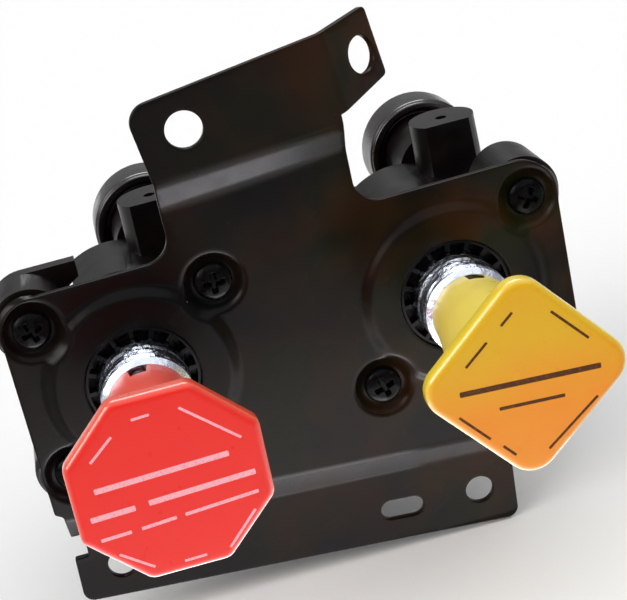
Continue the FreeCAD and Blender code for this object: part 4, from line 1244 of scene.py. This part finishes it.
def ink_bar(name: str, x: float, y: float, z: float, length: float, width: float,
            turn: float) -> bpy.types.Object:
    """Thin round-ended bar of ink on a face at y, turned clockwise by turn degrees as seen from the front.

    Args:
        name: name of the object.
        x: X of its middle.
        y: Y of the face that it lies on.
        z: Z of its middle.
        length: length with its ends.
        width: width.
        turn: turn in degrees.

    Returns:
        The bar, a closed sliver 0.05 mm thick.
    """
    half, r = length / 2, width / 2
    corner = r * 0.45
    box = [(-half, -r, corner), (half, -r, corner), (half, r, corner), (-half, r, corner)]
    flat = round_corners(box, True, 0.15)
    a = math.radians(turn)
    spin = np.array([[math.cos(a), -math.sin(a)], [math.sin(a), math.cos(a)]])
    flat = flat @ spin + [x, z]
    count = len(flat)
    layers = [(0.0, y + 0.02), (1.0, y + 0.02), (1.0, y - 0.03), (0.0, y - 0.03)]
    out = flat - [x, z]
    points = np.concatenate([np.stack([x + out[:, 0] * s, np.full(count, d), z + out[:, 1] * s], 1)
                             for s, d in layers])
    return mesh_piece(name, points, grid_quads(len(layers), count), 35.0, 0.0005)


# Plungers, guide rings and screws


@dataclass
class PlatedPlunger:
    """Plated plunger with a wide bevel behind the knob and a sleeve with shallow hollows."""

    side: Side
    sleeve_r: float = 11.4
    stem_r: float = 6.0
    tail_r: float = 4.0
    sleeve_end: float = 7.8
    cup: tuple[float, float] = (9.5, -12.6)
    bevel: tuple[tuple[float, float], ...] = ((9.9, -14.95), (11.25, -13.75))
    hollows: tuple[tuple[float, float, float], ...] = (
        (-12.9, 0.85, 1.7), (-10.4, 0.60, 1.9), (-7.7, 0.75, 1.7), (-5.1, 0.50, 1.8), (-2.8, 0.40, 1.5))

    def build(self) -> bpy.types.Object:
        """Turns the profile: cup behind the knob, front bevel, sleeve with shallow hollows, and tail.

        Returns:
            The finished piece.
        """
        low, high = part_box(f"{self.side.value}_plunger")
        front, rear = low.y / MM, high.y / MM
        (r0, y0), (r1, y1) = self.bevel
        cup_r, cup_y = self.cup
        corners = [(0.0, front, 0), (self.stem_r, front, 0.8), (self.stem_r, cup_y, 0.4), (cup_r, cup_y, 0.4),
                   (cup_r, y0, 0.1), (r0, y0, 0.2), (r1, y1, 0.35)]
        for y, depth, length in self.hollows:
            corners += [(r1, y - 0.4, 0.25), (r1 - depth, y, 0.25), (r1, y + length, 0.45)]
        corners += [(self.sleeve_r, 1.0, 0), (self.sleeve_r, self.sleeve_end, 0.15),
                    (self.tail_r, self.sleeve_end, 0), (self.tail_r, rear, 0.3), (0.0, rear, 0)]
        plunger = turned_piece(f"{self.side.value}_plated_plunger", round_corners(corners, False, 0.1),
                               self.side.axis_x, segments=160)
        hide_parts(f"{self.side.value}_plunger")
        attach(plunger, self.side.body)
        return CHROME.dress(plunger)


@dataclass
class RoundCap:
    """Round port cap with a full rim, a softly dished front and a hub."""

    node: str
    outer_r: float = 15.6
    hub_r: float = 11.2
    dish: float = 3.0
    wall: float = 2.4
    bore_r: float = 9.0
    bore_depth: float = 4.3

    def build(self) -> bpy.types.Object:
        """Turns the cap about its own axis, which comes from the CAD node's box.

        Returns:
            The finished piece.
        """
        low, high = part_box(self.node)
        x, z = (low.x + high.x) / 2 / MM, (low.z + high.z) / 2 / MM
        front, rear = low.y / MM, high.y / MM
        trough = (self.hub_r + self.outer_r - self.wall) / 2
        corners = [(self.bore_r, front, 0), (self.hub_r - 0.6, front, 0.5),
                   (self.hub_r + 0.2, front + self.dish, 1.0),
                   (trough + 0.2, front + self.dish, 1.2), (self.outer_r - self.wall, front + 0.9, 0.5),
                   (self.outer_r - self.wall + 0.3, front, 0.5), (self.outer_r - 0.5, front, 0.5),
                   (self.outer_r - 0.45, front + 1.0, 0.2), (self.outer_r - 0.15, front + 1.15, 0.15),
                   (self.outer_r, front + 1.6, 0.3), (self.outer_r, rear, 1.3), (0.0, rear, 0),
                   (0.0, front + self.bore_depth, 0), (self.bore_r, front + self.bore_depth, 0)]
        cap = turned_piece(f"turned_{self.node}", round_corners(corners, False, 0.2), x, z, 144, 50.0)
        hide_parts(self.node)
        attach(cap, "base")
        return CAP_NYLON.dress(cap)


@dataclass
class PanScrews:
    """Six cross-recessed pan-head screws with a soft dome and a tapered recess."""

    places: list[tuple[float, float]]
    seat: float = 2.2
    head_r: float = 4.75
    head_height: float = 2.9
    shank_r: float = 2.4
    shank_end: float = 16.2
    recess_depth: float = 1.7
    recess_reach: float = 2.75
    recess_half: float = 0.62
    recess_margin: float = 0.12
    recess_walls: tuple[float, float] = (0.75, 0.26)
    dome_fall: tuple[float, float] = (1.15, 0.35)
    first_turn_deg: float = 20.0
    turn_step_deg: float = 67.0

    def head_depth(self, dx: np.ndarray, dz: np.ndarray) -> np.ndarray:
        """How far the head's top lies below its crown: a dome with a cross sunk into it.

        The dome falls as a fourth power of the radius, and the cross is the product of a width falloff
        and a length falloff for each of its two arms.

        Args:
            dx: X from the screw's axis.
            dz: Z from the screw's axis.

        Returns:
            Depth of each point.
        """
        r = np.hypot(dx, dz)
        steep, shallow = self.dome_fall
        end_wall, side_wall = self.recess_walls
        dome = steep * np.clip(r / self.head_r, 0, 1) ** 4 + shallow * (r / self.head_r) ** 2
        arms = np.zeros_like(r)
        for a, b in ((dx, dz), (dz, dx)):
            reach = np.clip((self.recess_reach - np.abs(a)) / end_wall, 0, 1)
            width = np.clip((self.recess_half + self.recess_margin - np.abs(b)) / side_wall, 0, 1)
            arms = np.maximum(arms, reach * width)
        return dome + self.recess_depth * arms

    def build(self) -> bpy.types.Object:
        """Makes the six screws as one piece, each with its own turn of the recess.

        Returns:
            The finished piece.
        """
        rings, segments = 44, 96
        t = np.arange(segments) * TAU / segments
        radii = np.concatenate([np.linspace(0, 3.1, 34), np.linspace(3.3, self.head_r - 0.25, rings - 34)])
        points, faces = [], []
        for i, (x, z) in enumerate(self.places):
            spin = math.radians(self.first_turn_deg + self.turn_step_deg * i)
            dx = radii[:, None] * np.cos(t)
            dz = radii[:, None] * np.sin(t)
            y = self.seat - self.head_height + self.head_depth(dx, dz)
            side = [(self.head_r - 0.05, 1.62), (self.head_r, 1.9), (self.head_r, self.head_height - 0.15),
                    (self.head_r - 0.15, self.head_height), (self.shank_r, self.head_height),
                    (self.shank_r, self.shank_end - self.seat + self.head_height - 0.6),
                    (self.shank_r - 0.6, self.shank_end - self.seat + self.head_height),
                    (0.0, self.shank_end - self.seat + self.head_height)]
            for r, d in side:
                dx = np.vstack([dx, r * np.cos(t)])
                dz = np.vstack([dz, r * np.sin(t)])
                y = np.vstack([y, np.full(segments, self.seat - self.head_height + d)])
            rx = dx * math.cos(spin) - dz * math.sin(spin) + x
            rz = dx * math.sin(spin) + dz * math.cos(spin) + z
            faces.append(grid_quads(len(dx), segments) + sum(len(p) for p in points))
            points.append(np.stack([rx, y, rz], -1).reshape(-1, 3))
        screws = mesh_piece("pan_head_screws", np.concatenate(points), np.concatenate(faces), 42.0, 0.003)
        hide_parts("plate_screws")
        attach(screws, "base")
        return SCREW_BLACK.dress(screws)


# CAD nodes that keep their shape and get softened edges


@dataclass
class SoftenedNodes:
    """Copies of rigid CAD nodes with their edges broken as a mould or a tool leaves them."""

    nodes: dict[str, tuple[str, Finish, float]]
    weld_mm: float = 0.002
    flat_deg: float = 0.4
    smooth_deg: float = 28.0
    bevel_deg: float = 32.0

    def soften(self, node: str, body: str, finish: Finish, radius: float) -> bpy.types.Object:
        """Welds a copy of a node, joins its flat triangles and rounds its edges.

        Args:
            node: the CAD node that is copied and hidden.
            body: the CAD body that the copy rides on.
            finish: its finish.
            radius: radius of the broken edges, in millimetres.

        Returns:
            The copy.
        """
        mesh = frame_nodes()[node].data.copy()
        mesh.name = f"soft_{node}"
        clean = bmesh.new()
        clean.from_mesh(mesh)
        bmesh.ops.remove_doubles(clean, verts=clean.verts, dist=self.weld_mm * MM)
        flat = math.radians(self.flat_deg)
        bmesh.ops.dissolve_limit(clean, angle_limit=flat, verts=clean.verts, edges=clean.edges)
        clean.to_mesh(mesh)
        clean.free()
        mesh.materials.clear()
        mesh.polygons.foreach_set("use_smooth", np.ones(len(mesh.polygons), bool))
        mesh.set_sharp_from_angle(angle=math.radians(self.smooth_deg))
        piece = bpy.data.objects.new(f"soft_{node}", mesh)
        bpy.context.scene.collection.objects.link(piece)
        bevel = piece.modifiers.new("broken_edges", "BEVEL")
        bevel.width = radius * MM
        bevel.segments = 2
        bevel.limit_method = "ANGLE"
        bevel.angle_limit = math.radians(self.bevel_deg)
        bevel.use_clamp_overlap = True
        bevel.harden_normals = True
        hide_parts(node)
        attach(piece, body)
        return finish.dress(piece)

    def build(self) -> None:
        """Softens every node of the list."""
        for node, (body, finish, radius) in self.nodes.items():
            self.soften(node, body, finish, radius)
            LOG.info("softened %s", node)


def frame_nodes() -> dict[str, bpy.types.Object]:
    """The CAD nodes' objects, by name.

    Returns:
        Each node's object by its name.
    """
    return {o["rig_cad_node"]: o for o in bpy.data.objects if "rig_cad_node" in o}


# Studio


@dataclass(frozen=True)
class FarLamp:
    """Far soft lamp, as wide as a large softbox, that comes from the direction source.

    It looks spread degrees wide from the part, and lights matt surfaces too unless it is for gloss alone.
    """

    name: str
    source: tuple[float, float, float]
    colour: tuple[float, float, float]
    power: float
    spread: float
    lights_matt: bool = True

    def add(self) -> None:
        """Adds the lamp to the scene."""
        data = bpy.data.lights.new(self.name, "SUN")
        data.energy = self.power
        data.color = self.colour
        data.angle = math.radians(self.spread)
        lamp = bpy.data.objects.new(self.name, data)
        bpy.context.scene.collection.objects.link(lamp)
        lamp.matrix_world = (-Vector(self.source)).to_track_quat("-Z", "Y").to_matrix().to_4x4()
        lamp.visible_diffuse = self.lights_matt


@dataclass(frozen=True)
class FloorLamp:
    """Rectangular lamp that lies face up on the floor and only shows in glossy surfaces.

    Its centre and size are (x, y) in millimetres, its power is in watts, and its spread in degrees.
    """

    name: str
    centre: tuple[float, float]
    colour: tuple[float, float, float]
    power: float
    size: tuple[float, float]
    spread: float = 180.0

    def add(self, height: float) -> None:
        """Adds the lamp to the scene.

        Args:
            height: Z of the lamp, in millimetres.
        """
        data = bpy.data.lights.new(self.name, "AREA")
        data.shape = "RECTANGLE"
        data.size, data.size_y = self.size[0] * MM, self.size[1] * MM
        data.energy = self.power
        data.color = self.colour
        data.spread = math.radians(self.spread)
        lamp = bpy.data.objects.new(self.name, data)
        bpy.context.scene.collection.objects.link(lamp)
        place = Matrix.Translation(Vector((*self.centre, height)) * MM)
        lamp.matrix_world = place @ Matrix.Rotation(math.pi, 4, "X")
        lamp.visible_camera = False
        lamp.visible_diffuse = False


FAR_LAMPS = (
    FarLamp("key", (-0.74, -0.42, 0.55), (1.0, 0.99, 0.97), 1.1, 40.0),
    FarLamp("overhead", (0.1, -0.25, 1.0), (0.97, 0.98, 1.0), 1.6, 90.0),
    FarLamp("edge", (0.1, 0.55, 0.83), (0.97, 0.98, 1.0), 2.2, 36.0, False),
    FarLamp("glint", (-0.80, -0.20, 0.56), (1.0, 0.99, 0.97), 1.6, 30.0, False),
)
FLOOR_LAMPS = (
    FloorLamp("upper_bend_strip", (-35.0, -21.0), (0.93, 0.93, 1.0), 0.040, (120.0, 26.0), 90.0),
    FloorLamp("lower_bend_strip", (-35.0, 5.0), (0.93, 0.93, 1.0), 0.0085, (170.0, 24.0), 90.0),
    FloorLamp("near_sheen", (-10.0, -65.0), (1.0, 0.98, 1.0), 0.19, (180.0, 130.0)),
    FloorLamp("far_sheen", (-10.0, -140.0), (1.0, 0.93, 0.88), 0.19, (220.0, 200.0)),
)


@dataclass
class Studio:
    """Pale floor, soft light and the camera at the photograph's viewing angle."""

    camera_place: tuple[float, float, float] = (-38.188, -368.134, 153.29)
    look: tuple[float, float, float] = (0.10848, 0.92494, -0.36432)
    up: tuple[float, float, float] = (0.2636, 0.3266, 0.90766)
    lens: float = 93.457
    floor_drop: float = 0.6
    floor_half: float = 3000.0
    lamp_lift: float = 0.2
    world_strength: float = 0.36

    def build(self) -> None:
        """Sets up the colour view, the camera, the floor, the lamps and the world."""
        scene = bpy.context.scene
        scene.view_settings.view_transform = "Standard"
        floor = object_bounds()[0][2] / MM - self.floor_drop
        self.add_camera()
        self.add_floor(floor)
        for lamp in FAR_LAMPS:
            lamp.add()
        for lamp in FLOOR_LAMPS:
            lamp.add(floor + self.lamp_lift)
        self.add_world()

    def add_camera(self) -> None:
        """Places the camera with its measured lens, look direction and roll."""
        data = bpy.data.cameras.new("camera")
        data.lens = self.lens
        data.sensor_width = 36.0
        data.clip_start = 0.01
        camera = bpy.data.objects.new("camera", data)
        bpy.context.scene.collection.objects.link(camera)
        look = Vector(self.look).normalized()
        right = look.cross(Vector(self.up)).normalized()
        up = right.cross(look)
        turn = Matrix((right, up, -look)).transposed().to_4x4()
        camera.matrix_world = Matrix.Translation(Vector(self.camera_place) * MM) @ turn
        bpy.context.scene.camera = camera

    def add_floor(self, low: float) -> None:
        """Lays a pale floor just below the part's lowest point.

        Args:
            low: Z of the floor.
        """
        h = self.floor_half
        points = np.array([(-h, -h, low), (h, -h, low), (h, h, low), (-h, h, low)])
        floor = mesh_piece("floor", points, np.array([[0, 1, 2, 3]]))
        material = bpy.data.materials.new("pale_floor")
        material.use_nodes = True
        tree = material.node_tree
        tree.nodes.clear()
        shader = add_node(tree, "ShaderNodeBsdfPrincipled", {"Base Color": linear("#fbfbfa"), "Roughness": 0.9,
                                                             "Specular IOR Level": 0.1})
        add_node(tree, "ShaderNodeOutputMaterial", links={"Surface": shader.outputs[0]})
        floor.data.materials.append(material)
        floor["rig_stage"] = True

    def add_world(self) -> None:
        """Lights everything softly from all round."""
        world = bpy.data.worlds.new("studio")
        bpy.context.scene.world = world
        world.use_nodes = True
        tree = world.node_tree
        tree.nodes.clear()
        background = add_node(tree, "ShaderNodeBackground", {"Color": linear("#ffffff"), "Strength": self.world_strength})
        add_node(tree, "ShaderNodeOutputWorld", links={"Surface": background.outputs[0]})


# Bars printed on the knobs, as (x, z, length, width, turn in degrees) from the knob's axis
RED_BARS = [
    (-12.1, 11.8, 7.2, 0.6, -39.1), (-2.5, 16.6, 3.9, 0.6, -1.8), (11.2, 11.2, 15.2, 0.6, 43.1),
    (-1.2, 3.1, 29.2, 1.3, -0.7), (-13.3, -3.2, 9.7, 1.3, -0.8), (6.2, -2.7, 23.4, 1.3, -1.1),
    (-13.9, -8.4, 6.7, 0.8, -1.4), (-4.5, -8.1, 7.7, 0.8, -2.6), (9.4, -7.5, 16.3, 0.8, -2.4),
    (-11.1, -15.3, 8.3, 0.6, 38.4), (1.0, -18.5, 4.9, 0.6, 0.0), (12.3, -14.8, 10.2, 0.6, -45.0),
]
YELLOW_BARS = [
    (-10.3, 8.7, 7.1, 0.6, -39.0), (-2.4, 14.9, 3.8, 0.6, -39.0), (11.1, 9.7, 11.2, 0.6, 49.1),
    (0.5, -0.5, 32.1, 1.3, 4.0), (0.0, -5.7, 15.0, 0.8, 4.0),
    (-13.6, -8.1, 9.2, 0.6, 50.0), (-6.9, -15.6, 3.9, 0.6, 50.0), (8.3, -13.2, 15.8, 0.6, -36.0),
]


def softened_nodes() -> SoftenedNodes:
    """Lists the CAD nodes that keep their shape, with their bodies, finishes and edge radii.

    Returns:
        The list, ready to build.
    """
    nodes: dict[str, tuple[str, Finish, float]] = {
        "valve_body": ("base", NYLON, 0.45),
        "rear_manifold": ("base", NYLON, 0.45),
        "manifold_screws": ("base", SCREW_BLACK, 0.20),
        "port_inserts": ("base", BRASS, 0.20),
        "manifold_gasket": ("base", RUBBER, 0.10),
    }
    for side in Side:
        nodes[f"{side.value}_guide_ring"] = ("base", RING_NYLON, 0.10)
    return SoftenedNodes(nodes)


def dress_hidden_nodes() -> None:
    """Gives a finish to the small inner CAD nodes that keep their own meshes."""
    finishes: dict[str, Finish] = {"check_shuttle": WHITE_ACETAL, "cap_seals": RUBBER}
    for side in Side:
        name = side.value
        finishes.update({
            f"{name}_wiper_ring": RUBBER, f"{name}_spool_seals": RUBBER, f"{name}_spool": ALUMINIUM,
            f"{name}_return_spring": SPRING_STEEL, f"{name}_spring_seat": SPRING_STEEL,
            f"{name}_retaining_clip": SPRING_STEEL, f"{name}_knob_pin": SPRING_STEEL,
        })
    for node, piece in frame_nodes().items():
        if node in finishes:
            finishes[node].dress(piece)


def main() -> None:
    """Builds every piece around the CAD frame, then the studio."""
    logging.basicConfig(level=logging.INFO, format="%(name)s: %(message)s")
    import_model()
    plate = MountingPlate()
    plate.build()
    knobs = [
        Knob(Side.RED, 8, 21.15, 3.2, -58.9, 1.0, RED_ACETAL, PINK_INK, -4.0, notch=(4.4, 4.5),
             bars=RED_BARS),
        Knob(Side.YELLOW, 4, 17.95, 6.4, -57.3, 4.8, YELLOW_ACETAL, BROWN_INK, 11.0, notch=(4.0, 3.4),
             bars=YELLOW_BARS),
    ]
    for knob in knobs:
        knob.build()
        knob.print_marks()
        PlatedPlunger(knob.side).build()
    for node in ("left_port_cap", "right_port_cap"):
        RoundCap(node).build()
    PanScrews(plate.screw_places()).build()
    softened_nodes().build()
    dress_hidden_nodes()
    Studio().build()


if __name__ == "__main__":
    main()
